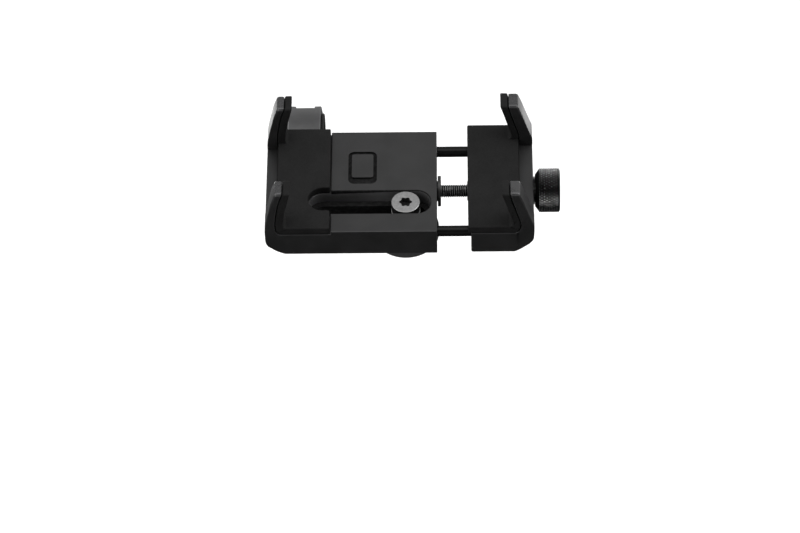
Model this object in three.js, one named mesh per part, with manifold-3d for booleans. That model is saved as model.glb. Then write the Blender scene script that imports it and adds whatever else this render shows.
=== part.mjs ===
// Handlebar phone mount: a two-half bar clamp with an arm, a slotted cradle plate held by one
// flat-topped screw, and a sliding jaw drawn in by a lead screw with a knurled knob.
// Frame: origin on the handlebar axis at the middle of the clamp, X along the bar,
// Y forward, Z up and square to the cradle plate. Units: mm.
import * as THREE from 'three';
import { mergeVertices } from 'three/addons/utils/BufferGeometryUtils.js';
import Module from 'manifold-3d';

const wasm = await Module();
wasm.setup();

// ---- driving dimensions -------------------------------------------------------------------
const BAR_R = 15.9; // 31.8 mm handlebar
const FIT = 0.3; // gap left between pieces that touch

// clamp round the bar
const CLAMP_HALF_W = 6.15;
const CLAMP_R = 22.5;
const CLAMP_BORE_R = 17.9;
const SPLIT_HALF = 0.6;
const RECESS_R = 21.7;
const RECESS_HALF_W = 3.6;
const RECESS_START = 57; // degrees up from the forward direction
const HINGE_Y = 23;
const KNUCKLE_R = 3.6;
const KNUCKLE_CLEAR_R = 4.0;
const PIN_R = 1.5;
const BOLT_Y = -26.5;
const EAR_T = 6.5;
const EAR_ROOT_Y = -10;
const BOLT_R = 2.5;
const BOLT_TIP_ROOM = 0.8;
const BOLT_TIP_DOWN = 0.4;
const BOLT_CHAMFER = 0.5;
const BOLT_HEAD_R = 4.25;
const BOLT_HEAD_H = 5;
const BOLT_SOCKET_R = 2.3;
const BOLT_SOCKET_DEPTH = 2.6;
const BOLT_WASHER_R = 5;
const BOLT_WASHER_T = 1;

// rubber liner between clamp and bar
const LINER_R = CLAMP_BORE_R - FIT;
const LINER_BORE_R = BAR_R + 0.05;
const LIP_R = 19.8;
const LIP_T = 0.85;

// arm from the clamp to the round base under the cradle
const ARM_TOP = 21.3;
const ARM_T = 4;
const ARM_HALF_W = 7;
const ARM_ROOT_Y = -8;
const ARM_END_BACK = 2; // the arm's end stops this far short of the base's centre
const BASE_R = 12.25;
const BASE_RISE = 0.5;
const DISC_T = 0.6;
const DISC_GAP = 0.25;
// curved web under the arm: where it leaves the arm, its bend and its foot, as [y, z]
const WEB_END_Y = -30;
const WEB_BEND_Y = -21;
const WEB_FOOT = [-19.6, 8.6];
const WEB_ROOT = [-10, 10];

// cradle, in its own frame: x = 0 beside its right face, y = 0 rider side, z = 0 underside
const CRADLE_AT = [50, -66.4, 22.9];
const CRADLE_W = 62.9;
const BLOCK_W = 38.9;
const BLOCK_X1 = 0.4;
const BLOCK_TOP = 12;
const BLOCK_ROUND = 0.6;
const LEDGE_TOP = 10.6;
const CLAW_W = 7.5;
const CLAW_CORNER = 1.2;
const TAB_CORNER = 0.8;
const PAD_T = 3.1;
const PAD_BOTTOM = LEDGE_TOP + FIT;
const PAD_TOP = PAD_BOTTOM + PAD_T;

// slot in the cradle and its screw
const SLOT_X0 = -47.2;
const SLOT_X1 = -1.75;
const SLOT_Y = 14.8;
const SLOT_R = 5.7;
const SLOT_FLOOR = 6.2;
const THROUGH_R = 3.35;
const SCREW_X = -11.2;
const SCREW_HEAD_R = 5.25;
const SCREW_HEAD_H = 3.9;
const SCREW_R = 3;
const SCREW_CHAMFER = 0.4;
const SLOT_WASHER_R = 5.4;
const SLOT_WASHER_T = 1.3;
const TORX_R = 2.4;
const TORX_WAVE = 0.27;
const TORX_DEPTH = 2.4;

// jaw, guide rods and lead screw
const JAW_X0 = 12.9;
const JAW_X1 = 36.1;
const JAW_BOTTOM = 0.4;
const JAW_NOTCH = 0.8;
const JAW_PAD_LIP = 1.1;
const AXIS_Z = 6.6;
const ROD_R = 2;
const ROD_Y = [5, 45];
const ROD_X = [-37, 31];
const ROD_CHAMFER = 0.4;
const ROD_BORE_END = -51;
const LEAD_Y = 25;
const LEAD_R = 2.5;
const LEAD_X = [-33, 44.3];
const LEAD_CHAMFER = 0.5;
const LEAD_BORE_R = 2.9;
const LEAD_BORE_END = -47;
const BUSH_R = 3.8;
const BUSH_L = 10;
const BUSH_FLANGE_R = 5.7;
const BUSH_FLANGE_T = 1.2;
const CLIP_R = 3.6;
const CLIP_T = 1;
const THRUST_R = 5.2;
const THRUST_T = 0.4;
const THRUST_GAP = 0.15;
const KNOB_R = 8.2;
const KNOB_SHOULDER_R = 7.9;
const KNOB_NECK_R = 6.1;
const KNOB_CONE_L = 1.3;
const KNOB_GRIP_L = 7.9;
const KNOB_CHAMFER = 0.5;
const GRUB_R = 1.5;
const GRUB_DOWN = 0.9; // the grub screw lies this far inside the knob's surface
const GRUB_SOCKET_R = 0.85;
const GRUB_SOCKET_DEPTH = 1.4;

// engraved outline of a phone on the block
const ICON_AT = [-27.2, 32.2];
const ICON_W = 10.6;
const ICON_H = 16.2;
const ICON_CORNER = 2.2;
const ICON_LINE = 1.3;
const ICON_DEPTH = 0.8;
const ICON_CHIN = 1.9; // extra width of the outline along its lower edge

// ---- end profiles --------------------------------------------------------------------------
// Section of each end as [inward from its outer edge, height], and its claws.
const FIXED_END = {
  edge: -CRADLE_W,
  side: -1,
  depth: 50.5,
  top: 32.2,
  base: 0,
  foot: [[7.2, 0], [5.4, 0.8], [2.3, 3]],
  outer: [[0.92, 4.1], [0.1, 6.3], [0, 9], [0, 13], [0.7, 17.9], [1.75, 22.8], [2.9, 27.8], [4.4, 32.2]],
  inner: [[7.1, 32.2], [5.6, 27.8], [4.6, 22.8], [3.9, 17.9], [3.75, 13.8], [4.3, 11.6], [5.6, 10.6]],
  tab: [[9.85, 32.2], [8.85, 27.8], [7.7, 22.8], [6.95, 17.9], [6.85, 15.3], [7.2, 14.3], [8, 14]],
  padEdge: 4.7,
  padFoot: 6,
};
const JAW_END = {
  edge: JAW_X1,
  side: 1,
  depth: 51.7,
  top: 31.5,
  base: JAW_BOTTOM,
  foot: [[7, 0.4], [5.9, 1.1], [3.15, 3.3]],
  outer: [[1.8, 4.4], [0.35, 6.6], [0, 9], [0, 14], [0.95, 17.1], [2.5, 22.1], [3.95, 27], [5.6, 31.5]],
  inner: [[9.1, 31.5], [8, 27], [6.6, 22.1], [5.2, 17.1], [4.8, 14.2], [5.4, 12], [6.8, 10.6]],
  tab: [[12.1, 31.5], [10.8, 27], [9.5, 22.1], [8.1, 17.1], [7.9, 15.5], [8.4, 14.4], [9.3, 14]],
  padEdge: 5.6,
  padFoot: 7.3,
};

// ---- materials -----------------------------------------------------------------------------
function material(name, color, roughness, metalness) {
  const made = new THREE.MeshStandardMaterial({ color, roughness, metalness });
  made.name = name;
  return made;
}

const anodised = () => material('anodised', 0x353537, 0.42, 0.85);
const clampFinish = () => material('clamp_finish', 0x5a5a5c, 0.4, 0.85);
const rubber = () => material('rubber', 0x262627, 0.85, 0);
const steel = () => material('steel', 0xa4a4a6, 0.3, 1);
const blackSteel = () => material('black_steel', 0x1c1c1e, 0.32, 0.9);
const nylon = () => material('nylon', 0x303032, 0.6, 0);

// ---- shape helpers -------------------------------------------------------------------------
const ROUND = 40;
const SMALL_ROUND = 24;

function solid(geometry) {
  const bare = geometry.index ? geometry.toNonIndexed() : geometry.clone();
  bare.deleteAttribute('normal');
  bare.deleteAttribute('uv');
  const merged = mergeVertices(bare, 1e-5);
  return new wasm.Manifold(new wasm.Mesh({
    numProp: 3,
    vertProperties: new Float32Array(merged.attributes.position.array),
    triVerts: new Uint32Array(merged.index.array),
  }));
}

function geometryOf(body) {
  const mesh = body.getMesh();
  const geometry = new THREE.BufferGeometry();
  geometry.setAttribute('position', new THREE.BufferAttribute(mesh.vertProperties, 3));
  geometry.setIndex(new THREE.BufferAttribute(mesh.triVerts, 1));
  const flat = geometry.toNonIndexed();
  flat.computeVertexNormals();
  return flat;
}

function box(x0, x1, y0, y1, z0, z1) {
  const geometry = new THREE.BoxGeometry(x1 - x0, y1 - y0, z1 - z0);
  geometry.translate((x0 + x1) / 2, (y0 + y1) / 2, (z0 + z1) / 2);
  return solid(geometry);
}

function extrude(shape, depth, curveSegments = 12) {
  return new THREE.ExtrudeGeometry(shape, { depth, bevelEnabled: false, curveSegments });
}

// shape drawn in (x, y), standing from z0 to z1
function prismZ(shape, z0, z1, curveSegments) {
  const geometry = extrude(shape, z1 - z0, curveSegments);
  geometry.translate(0, 0, z0);
  return solid(geometry);
}

// shape drawn in (x, z), running from y0 to y1
function prismY(shape, y0, y1, curveSegments) {
  const geometry = extrude(shape, y1 - y0, curveSegments);
  geometry.rotateX(Math.PI / 2);
  geometry.translate(0, y1, 0);
  return solid(geometry);
}

// shape drawn in (y, z), running from x0 to x1
function prismX(shape, x0, x1, curveSegments) {
  const geometry = extrude(shape, x1 - x0, curveSegments);
  const turn = new THREE.Matrix4().makeBasis(
    new THREE.Vector3(0, 1, 0),
    new THREE.Vector3(0, 0, 1),
    new THREE.Vector3(1, 0, 0),
  );
  geometry.applyMatrix4(turn);
  geometry.translate(x0, 0, 0);
  return solid(geometry);
}

function rodX(radius, x0, x1, y = 0, z = 0, segments = SMALL_ROUND) {
  const geometry = new THREE.CylinderGeometry(radius, radius, x1 - x0, segments);
  geometry.rotateZ(Math.PI / 2);
  geometry.translate((x0 + x1) / 2, y, z);
  return solid(geometry);
}

function rodZ(radius, z0, z1, x = 0, y = 0, segments = SMALL_ROUND) {
  const geometry = new THREE.CylinderGeometry(radius, radius, z1 - z0, segments);
  geometry.rotateX(Math.PI / 2);
  geometry.translate(x, y, (z0 + z1) / 2);
  return solid(geometry);
}

// profile of [radius, along] pairs turned about X; it starts and ends on the axis or closes
function turnedX(profile, segments = ROUND) {
  const points = profile.map(([radius, along]) => new THREE.Vector2(radius, along));
  const geometry = new THREE.LatheGeometry(points, segments);
  geometry.rotateZ(-Math.PI / 2);
  return solid(geometry);
}

// same, turned about Z
function turnedZ(profile, segments = ROUND) {
  const points = profile.map(([radius, along]) => new THREE.Vector2(radius, along));
  const geometry = new THREE.LatheGeometry(points, segments);
  geometry.rotateX(Math.PI / 2);
  return solid(geometry);
}

function polygon(points) {
  return new THREE.Shape(points.map(([a, b]) => new THREE.Vector2(a, b)));
}

function obround(x0, x1, y, radius) {
  const shape = new THREE.Shape();
  shape.moveTo(x0 + radius, y - radius);
  shape.lineTo(x1 - radius, y - radius);
  shape.absarc(x1 - radius, y, radius, -Math.PI / 2, Math.PI / 2, false);
  shape.lineTo(x0 + radius, y + radius);
  shape.absarc(x0 + radius, y, radius, Math.PI / 2, Math.PI * 1.5, false);
  return shape;
}

function roundedRect(x, y, width, height, corner) {
  const shape = new THREE.Shape();
  const left = x - width / 2;
  const right = x + width / 2;
  const low = y - height / 2;
  const high = y + height / 2;
  shape.moveTo(left + corner, low);
  shape.lineTo(right - corner, low);
  shape.absarc(right - corner, low + corner, corner, -Math.PI / 2, 0, false);
  shape.lineTo(right, high - corner);
  shape.absarc(right - corner, high - corner, corner, 0, Math.PI / 2, false);
  shape.lineTo(left + corner, high);
  shape.absarc(left + corner, high - corner, corner, Math.PI / 2, Math.PI, false);
  shape.lineTo(left, low + corner);
  shape.absarc(left + corner, low + corner, corner, Math.PI, Math.PI * 1.5, false);
  return shape;
}

function hexagon(x, y, radius) {
  return polygon([0, 1, 2, 3, 4, 5].map((k) => {
    const angle = (k * Math.PI) / 3;
    return [x + radius * Math.cos(angle), y + radius * Math.sin(angle)];
  }));
}

function piece(name, body, finish) {
  const mesh = new THREE.Mesh(geometryOf(body), finish);
  mesh.name = name;
  return mesh;
}

// ---- clamp ---------------------------------------------------------------------------------
// Ring half, bolt ear and hinge shoulder on one side of the split; side is +1 up, -1 down.
function clampHalf(side) {
  const w = CLAMP_HALF_W;
  let body = rodX(CLAMP_R, -w, w, 0, 0, 64);
  const tilt = Math.acos((CLAMP_R - KNUCKLE_R) / HINGE_Y);
  const shoulder = polygon([
    [0, 0],
    [HINGE_Y, 0],
    [HINGE_Y + KNUCKLE_R * Math.cos(tilt), side * KNUCKLE_R * Math.sin(tilt)],
    [CLAMP_R * Math.cos(tilt), side * CLAMP_R * Math.sin(tilt)],
  ]);
  body = body.add(prismX(shoulder, -w, w));
  const ear = new THREE.Shape();
  ear.moveTo(w, EAR_ROOT_Y);
  ear.lineTo(-w, EAR_ROOT_Y);
  ear.lineTo(-w, BOLT_Y);
  ear.absarc(0, BOLT_Y, w, Math.PI, Math.PI * 2, false);
  const low = side > 0 ? 0 : -SPLIT_HALF - EAR_T;
  const high = side > 0 ? SPLIT_HALF + EAR_T : 0;
  body = body.add(prismZ(ear, low, high));
  const reach = CLAMP_R + BASE_R;
  const otherSide = side > 0
    ? box(-w - 1, w + 1, -reach, reach, -reach, SPLIT_HALF)
    : box(-w - 1, w + 1, -reach, reach, -SPLIT_HALF, reach);
  return body.subtract(otherSide);
}

function clampBracket() {
  const w = CLAMP_HALF_W;
  const armBottom = ARM_TOP - ARM_T;
  const armEndX = CRADLE_AT[0] + SCREW_X - ARM_END_BACK;
  const baseX = CRADLE_AT[0] + SCREW_X;
  const baseY = CRADLE_AT[1] + SLOT_Y;
  let body = clampHalf(1);

  const web = new THREE.Shape();
  web.moveTo(0, ARM_TOP);
  web.lineTo(WEB_END_Y, ARM_TOP);
  web.lineTo(WEB_END_Y, armBottom);
  web.quadraticCurveTo(WEB_BEND_Y, armBottom, ...WEB_FOOT);
  web.lineTo(...WEB_ROOT);
  body = body.add(prismX(web, -w, w, 6));

  const arm = new THREE.Shape();
  arm.moveTo(-w, ARM_ROOT_Y);
  arm.quadraticCurveTo(-w, baseY - ARM_HALF_W, armEndX, baseY - ARM_HALF_W);
  arm.lineTo(armEndX, baseY + ARM_HALF_W);
  arm.quadraticCurveTo(w, baseY + ARM_HALF_W, w, ARM_ROOT_Y);
  body = body.add(prismZ(arm, armBottom, ARM_TOP, 14));
  body = body.add(rodZ(BASE_R, armBottom, ARM_TOP + BASE_RISE, baseX, baseY, ROUND));

  body = body.subtract(rodX(CLAMP_BORE_R, -w - 1, w + 1, 0, 0, 64));
  body = body.subtract(rodZ(SCREW_R + FIT, 0, ARM_TOP + BASE_R, baseX, baseY));
  body = body.subtract(rodZ(BOLT_R + BOLT_TIP_ROOM, 0, SPLIT_HALF + EAR_T + 1, 0, BOLT_Y));

  // two outer knuckles on the far side of the ring
  for (const x0 of [-w, RECESS_HALF_W]) {
    body = body.add(rodX(KNUCKLE_R, x0, x0 + w - RECESS_HALF_W, HINGE_Y, 0));
  }
  // shallow recess in the middle of the band, leading down to the gap between the knuckles
  const start = THREE.MathUtils.degToRad(RECESS_START);
  const far = 2 * CLAMP_R;
  const sector = polygon([
    [0, 0],
    [far, 0],
    [far, far * Math.tan(start)],
  ]);
  const band = prismX(sector, -RECESS_HALF_W, RECESS_HALF_W)
    .subtract(rodX(RECESS_R, -w, w, 0, 0, 64));
  body = body.subtract(band);
  body = body.subtract(rodX(KNUCKLE_CLEAR_R, -RECESS_HALF_W, RECESS_HALF_W, HINGE_Y, 0));
  return body.subtract(rodX(PIN_R + FIT, -w - 1, w + 1, HINGE_Y, 0));
}

function clampGate() {
  const w = CLAMP_HALF_W;
  const tongue = RECESS_HALF_W - FIT;
  let body = clampHalf(-1);
  body = body.subtract(rodX(CLAMP_BORE_R, -w - 1, w + 1, 0, 0, 64));
  for (const x0 of [-w - 1, tongue]) {
    body = body.subtract(rodX(KNUCKLE_CLEAR_R, x0, x0 + w + 1 - tongue, HINGE_Y, 0));
  }
  body = body.add(rodX(KNUCKLE_R, -tongue, tongue, HINGE_Y, 0));
  body = body.subtract(rodX(PIN_R + FIT, -w - 1, w + 1, HINGE_Y, 0));
  return body.subtract(rodZ(BOLT_R + FIT, -SPLIT_HALF - EAR_T - 1, 0, 0, BOLT_Y));
}

function linerHalf(side) {
  const outer = CLAMP_HALF_W + FIT + LIP_T;
  const inner = CLAMP_HALF_W + FIT;
  const ring = turnedX([
    [LINER_BORE_R, -outer],
    [LIP_R, -outer],
    [LIP_R, -inner],
    [LINER_R, -inner],
    [LINER_R, inner],
    [LIP_R, inner],
    [LIP_R, outer],
    [LINER_BORE_R, outer],
    [LINER_BORE_R, -outer],
  ], 64);
  const room = LIP_R + 1;
  const cut = side > 0
    ? box(-room, room, -room, room, -room, SPLIT_HALF)
    : box(-room, room, -room, room, -SPLIT_HALF, room);
  return ring.subtract(cut);
}

function hingePin() {
  const half = CLAMP_HALF_W - 0.15;
  return rodX(PIN_R, -half, half, HINGE_Y, 0);
}

function boltWasher() {
  const top = -SPLIT_HALF - EAR_T - FIT;
  return rodZ(BOLT_WASHER_R, top - BOLT_WASHER_T, top, 0, BOLT_Y)
    .subtract(rodZ(BOLT_R + FIT, top - BOLT_WASHER_T - 1, top + 1, 0, BOLT_Y));
}

function clampBolt() {
  const headTop = -SPLIT_HALF - EAR_T - 2 * FIT - BOLT_WASHER_T;
  const headBottom = headTop - BOLT_HEAD_H;
  const tip = SPLIT_HALF + EAR_T - BOLT_TIP_DOWN;
  const chamfer = BOLT_CHAMFER;
  const socket = hexagon(0, BOLT_Y, BOLT_SOCKET_R);
  const body = turnedZ([
    [0, headBottom],
    [BOLT_HEAD_R - chamfer, headBottom],
    [BOLT_HEAD_R, headBottom + chamfer],
    [BOLT_HEAD_R, headTop],
    [BOLT_R, headTop],
    [BOLT_R, tip - chamfer],
    [BOLT_R - chamfer, tip],
    [0, tip],
  ], SMALL_ROUND).translate([0, BOLT_Y, 0]);
  return body.subtract(prismZ(socket, headBottom - 1, headBottom + BOLT_SOCKET_DEPTH));
}

// ---- cradle --------------------------------------------------------------------------------
function smooth(points, count) {
  const curve = new THREE.SplineCurve(points.map(([a, b]) => new THREE.Vector2(a, b)));
  return curve.getPoints(count).map((point) => [point.x, point.y]);
}

// [inward, height] points of an end, placed in the cradle's frame
function placeWall(points, end) {
  return points.map(([inward, height]) => [end.edge - end.side * inward, height]);
}

// Two towers with rounded corners standing on a floor, seen from the side in (y, z).
function towers(depth, floor, top, corner) {
  const back = depth - CLAW_W;
  const shoulder = top - corner;
  const shape = new THREE.Shape();
  shape.moveTo(0, -1);
  shape.lineTo(depth, -1);
  shape.lineTo(depth, shoulder);
  shape.absarc(depth - corner, shoulder, corner, 0, Math.PI / 2, false);
  shape.lineTo(back + corner, top);
  shape.absarc(back + corner, shoulder, corner, Math.PI / 2, Math.PI, false);
  shape.lineTo(back, floor);
  shape.lineTo(CLAW_W, floor);
  shape.lineTo(CLAW_W, shoulder);
  shape.absarc(CLAW_W - corner, shoulder, corner, 0, Math.PI / 2, false);
  shape.lineTo(corner, top);
  shape.absarc(corner, shoulder, corner, Math.PI / 2, Math.PI, false);
  return shape;
}

function cutToTowers(body, end, inside, floor, corner) {
  const low = Math.min(end.edge, inside) - 1;
  const high = Math.max(end.edge, inside) + 1;
  return body.intersect(prismX(towers(end.depth, floor, end.top, corner), low, high, 4));
}

function clawPair(end, inside) {
  const outline = [
    ...placeWall(end.foot, end),
    ...placeWall(smooth(end.outer, 14), end),
    ...placeWall(smooth(end.inner, 12), end),
    [inside, LEDGE_TOP],
    [inside, end.base],
  ];
  const section = polygon(end.side > 0 ? outline : outline.reverse());
  return cutToTowers(prismY(section, 0, end.depth), end, inside, LEDGE_TOP, CLAW_CORNER);
}

function phoneIcon() {
  const [x, y] = ICON_AT;
  const bottom = BLOCK_TOP - ICON_DEPTH;
  const top = BLOCK_TOP + 1;
  const screen = roundedRect(
    x,
    y + ICON_CHIN / 2,
    ICON_W - 2 * ICON_LINE,
    ICON_H - 2 * ICON_LINE - ICON_CHIN,
    ICON_CORNER - ICON_LINE,
  );
  return prismZ(roundedRect(x, y, ICON_W, ICON_H, ICON_CORNER), bottom, top, 5)
    .subtract(prismZ(screen, bottom - 1, top + 1, 5));
}

function cradleBody() {
  const { depth } = FIXED_END;
  let body = clawPair(FIXED_END, BLOCK_X1 - BLOCK_W / 2);
  const block = polygon([
    [-BLOCK_W, 0],
    [BLOCK_X1, 0],
    [BLOCK_X1, BLOCK_TOP - BLOCK_ROUND],
    [BLOCK_X1 - BLOCK_ROUND, BLOCK_TOP],
    [-BLOCK_W, BLOCK_TOP],
  ]);
  body = body.add(prismY(block, 0, depth));
  body = body.subtract(prismZ(obround(SLOT_X0, SLOT_X1, SLOT_Y, SLOT_R), SLOT_FLOOR, 20));
  const offset = SLOT_R - THROUGH_R;
  const through = obround(SLOT_X0 + offset, SLOT_X1 - offset, SLOT_Y, THROUGH_R);
  body = body.subtract(prismZ(through, -1, SLOT_FLOOR + 1, 8));
  for (const y of ROD_Y) {
    body = body.subtract(rodX(ROD_R + FIT, ROD_BORE_END, BLOCK_X1 + 1, y, AXIS_Z));
  }
  body = body.subtract(rodX(LEAD_BORE_R, LEAD_BORE_END, BLOCK_X1 + 1, LEAD_Y, AXIS_Z));
  body = body.subtract(rodX(BUSH_R + FIT, -BUSH_L - FIT, BLOCK_X1 + 1, LEAD_Y, AXIS_Z));
  return body.subtract(phoneIcon());
}

// Rubber pad: a flat slab with a tab up each claw.
function padBody(end, inside) {
  const slabEdge = end.edge - end.side * end.padEdge;
  const slab = box(
    Math.min(slabEdge, inside),
    Math.max(slabEdge, inside),
    CLAW_W,
    end.depth - CLAW_W,
    PAD_BOTTOM,
    PAD_TOP,
  );
  const back = smooth(end.inner, 12)
    .filter(([, height]) => height > PAD_BOTTOM + FIT)
    .map(([inward, height]) => [inward + FIT, height]);
  const outline = [
    ...placeWall(back, end),
    ...placeWall([[end.padFoot, PAD_BOTTOM]], end),
    [inside, PAD_BOTTOM],
    [inside, PAD_TOP],
    ...placeWall(smooth(end.tab, 12), end).reverse(),
  ];
  const section = polygon(end.side > 0 ? outline.reverse() : outline);
  const tabs = cutToTowers(prismY(section, 0, end.depth), end, inside, PAD_TOP, TAB_CORNER);
  return tabs.add(slab);
}

function cradlePad() {
  const inside = -BLOCK_W - FIT;
  return padBody(FIXED_END, inside)
    .subtract(prismZ(obround(SLOT_X0, SLOT_X1, SLOT_Y, SLOT_R), 0, 2 * PAD_TOP));
}

function threadBush() {
  const flange = BLOCK_X1 + FIT;
  return turnedX([
    [LEAD_R + FIT, -BUSH_L],
    [BUSH_R, -BUSH_L],
    [BUSH_R, flange],
    [BUSH_FLANGE_R, flange],
    [BUSH_FLANGE_R, flange + BUSH_FLANGE_T],
    [LEAD_R + FIT, flange + BUSH_FLANGE_T],
    [LEAD_R + FIT, -BUSH_L],
  ], SMALL_ROUND).translate([0, LEAD_Y, AXIS_Z]);
}

// ---- slot screw ----------------------------------------------------------------------------
function torxRecess(x, y, z0, z1) {
  const points = [];
  const lobes = 6;
  const steps = 5;
  for (let k = 0; k < lobes * steps; k += 1) {
    const angle = (k * 2 * Math.PI) / (lobes * steps);
    const radius = TORX_R - TORX_WAVE + TORX_WAVE * Math.cos(lobes * angle);
    points.push([x + radius * Math.cos(angle), y + radius * Math.sin(angle)]);
  }
  return prismZ(polygon(points), z0, z1);
}

function slotScrew() {
  const chamfer = SCREW_CHAMFER;
  const top = BLOCK_TOP;
  const under = top - SCREW_HEAD_H;
  const tip = ARM_TOP - ARM_T - CRADLE_AT[2];
  const body = turnedZ([
    [0, tip],
    [SCREW_R - chamfer, tip],
    [SCREW_R, tip + chamfer],
    [SCREW_R, under],
    [SCREW_HEAD_R, under],
    [SCREW_HEAD_R, top - chamfer],
    [SCREW_HEAD_R - chamfer, top],
    [0, top],
  ], 32).translate([SCREW_X, SLOT_Y, 0]);
  return body.subtract(torxRecess(SCREW_X, SLOT_Y, top - TORX_DEPTH, top + 1));
}

function slotWasher() {
  const bottom = SLOT_FLOOR + FIT;
  const top = bottom + SLOT_WASHER_T;
  return rodZ(SLOT_WASHER_R, bottom, top, SCREW_X, SLOT_Y, 32)
    .subtract(rodZ(SCREW_R + FIT, bottom - 1, top + 1, SCREW_X, SLOT_Y));
}

function frictionDisc() {
  const top = -DISC_GAP;
  return rodZ(BASE_R - DISC_GAP, top - DISC_T, top, SCREW_X, SLOT_Y, ROUND)
    .subtract(rodZ(SCREW_R + FIT, top - DISC_T - 1, top + 1, SCREW_X, SLOT_Y));
}

// ---- jaw -----------------------------------------------------------------------------------
function jawBody() {
  let body = clawPair(JAW_END, JAW_X0);
  const corner = polygon([
    [JAW_X0 - 1, JAW_BOTTOM - 1],
    [JAW_X0 + JAW_NOTCH, JAW_BOTTOM - 1],
    [JAW_X0 + JAW_NOTCH, JAW_BOTTOM],
    [JAW_X0, JAW_BOTTOM + JAW_NOTCH],
    [JAW_X0 - 1, JAW_BOTTOM + JAW_NOTCH],
  ]);
  body = body.subtract(prismY(corner, -1, JAW_END.depth + 1));
  for (const y of ROD_Y) {
    body = body.subtract(rodX(ROD_R + FIT, JAW_X0 - 1, ROD_X[1] + FIT, y, AXIS_Z));
  }
  return body.subtract(rodX(LEAD_BORE_R, JAW_X0 - 1, JAW_X1 + 1, LEAD_Y, AXIS_Z));
}

function jawPad() {
  return padBody(JAW_END, JAW_X0 - JAW_PAD_LIP);
}

function guideRod() {
  const [x0, x1] = ROD_X;
  const chamfer = ROD_CHAMFER;
  return turnedX([
    [0, x0],
    [ROD_R - chamfer, x0],
    [ROD_R, x0 + chamfer],
    [ROD_R, x1],
    [0, x1],
  ], SMALL_ROUND);
}

function leadScrew() {
  const [x0, x1] = LEAD_X;
  const chamfer = LEAD_CHAMFER;
  return turnedX([
    [0, x0],
    [LEAD_R - chamfer, x0],
    [LEAD_R, x0 + chamfer],
    [LEAD_R, x1],
    [0, x1],
  ], SMALL_ROUND);
}

function ring(outerR, x0, x1) {
  return rodX(outerR, x0, x1, 0, 0, 32).subtract(rodX(LEAD_R + FIT, x0 - 1, x1 + 1));
}

const KNOB_X0 = JAW_X1 + 2 * THRUST_GAP + THRUST_T;
const GRIP_X0 = KNOB_X0 + KNOB_CONE_L;
const GRUB_X = GRIP_X0 + KNOB_GRIP_L / 2;

function knurledKnob() {
  const end = GRIP_X0 + KNOB_GRIP_L;
  const body = turnedX([
    [0, KNOB_X0],
    [KNOB_NECK_R, KNOB_X0],
    [KNOB_SHOULDER_R, GRIP_X0],
    [KNOB_R, GRIP_X0 + KNOB_CHAMFER],
    [KNOB_R, end - KNOB_CHAMFER],
    [KNOB_R - KNOB_CHAMFER, end],
    [0, end],
  ], 48);
  return body
    .subtract(rodX(LEAD_R + FIT, KNOB_X0 - 1, LEAD_X[1] + FIT))
    .subtract(rodZ(GRUB_R + FIT, -KNOB_R - 1, 0, GRUB_X, 0, 16));
}

function knobGrub() {
  const bottom = GRUB_DOWN - KNOB_R;
  const socket = prismZ(hexagon(GRUB_X, 0, GRUB_SOCKET_R), bottom - 1, bottom + GRUB_SOCKET_DEPTH);
  return rodZ(GRUB_R, bottom, -LEAD_R - FIT, GRUB_X, 0, 16).subtract(socket);
}

// ---- assembly ------------------------------------------------------------------------------
const group = new THREE.Group();
group.name = 'phone_mount';

group.add(piece('clamp_bracket', clampBracket(), clampFinish()));
group.add(piece('clamp_gate', clampGate(), clampFinish()));
group.add(piece('liner_upper', linerHalf(1), rubber()));
group.add(piece('liner_lower', linerHalf(-1), rubber()));
group.add(piece('hinge_pin', hingePin(), steel()));
group.add(piece('clamp_bolt', clampBolt(), blackSteel()));
group.add(piece('clamp_bolt_washer', boltWasher(), steel()));

const cradle = new THREE.Group();
cradle.name = 'cradle';
cradle.position.set(...CRADLE_AT);
group.add(cradle);
cradle.add(piece('cradle_body', cradleBody(), anodised()));
cradle.add(piece('cradle_pad', cradlePad(), rubber()));
cradle.add(piece('thread_bush', threadBush(), blackSteel()));
cradle.add(piece('slot_screw', slotScrew(), steel()));
cradle.add(piece('slot_washer', slotWasher(), steel()));
cradle.add(piece('friction_disc', frictionDisc(), nylon()));
cradle.add(piece('jaw_body', jawBody(), anodised()));
cradle.add(piece('jaw_pad', jawPad(), rubber()));

for (const [k, y] of ROD_Y.entries()) {
  const rod = piece(k === 0 ? 'guide_rod_front' : 'guide_rod_rear', guideRod(), blackSteel());
  rod.position.set(0, y, AXIS_Z);
  cradle.add(rod);
}

const spindle = new THREE.Group();
spindle.name = 'spindle';
spindle.position.set(0, LEAD_Y, AXIS_Z);
cradle.add(spindle);
spindle.add(piece('lead_screw', leadScrew(), blackSteel()));
const clipX = JAW_X0 - FIT - CLIP_T;
spindle.add(piece('retaining_clip', ring(CLIP_R, clipX, clipX + CLIP_T), blackSteel()));
const thrustX = JAW_X1 + THRUST_GAP;
spindle.add(piece('thrust_washer', ring(THRUST_R, thrustX, thrustX + THRUST_T), nylon()));
spindle.add(piece('knurled_knob', knurledKnob(), blackSteel()));
spindle.add(piece('knob_grub_screw', knobGrub(), steel()));

export default group;
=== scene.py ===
# Handlebar phone mount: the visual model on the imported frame.
import math

import bmesh
import bpy
from mathutils import Matrix, Vector


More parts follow.
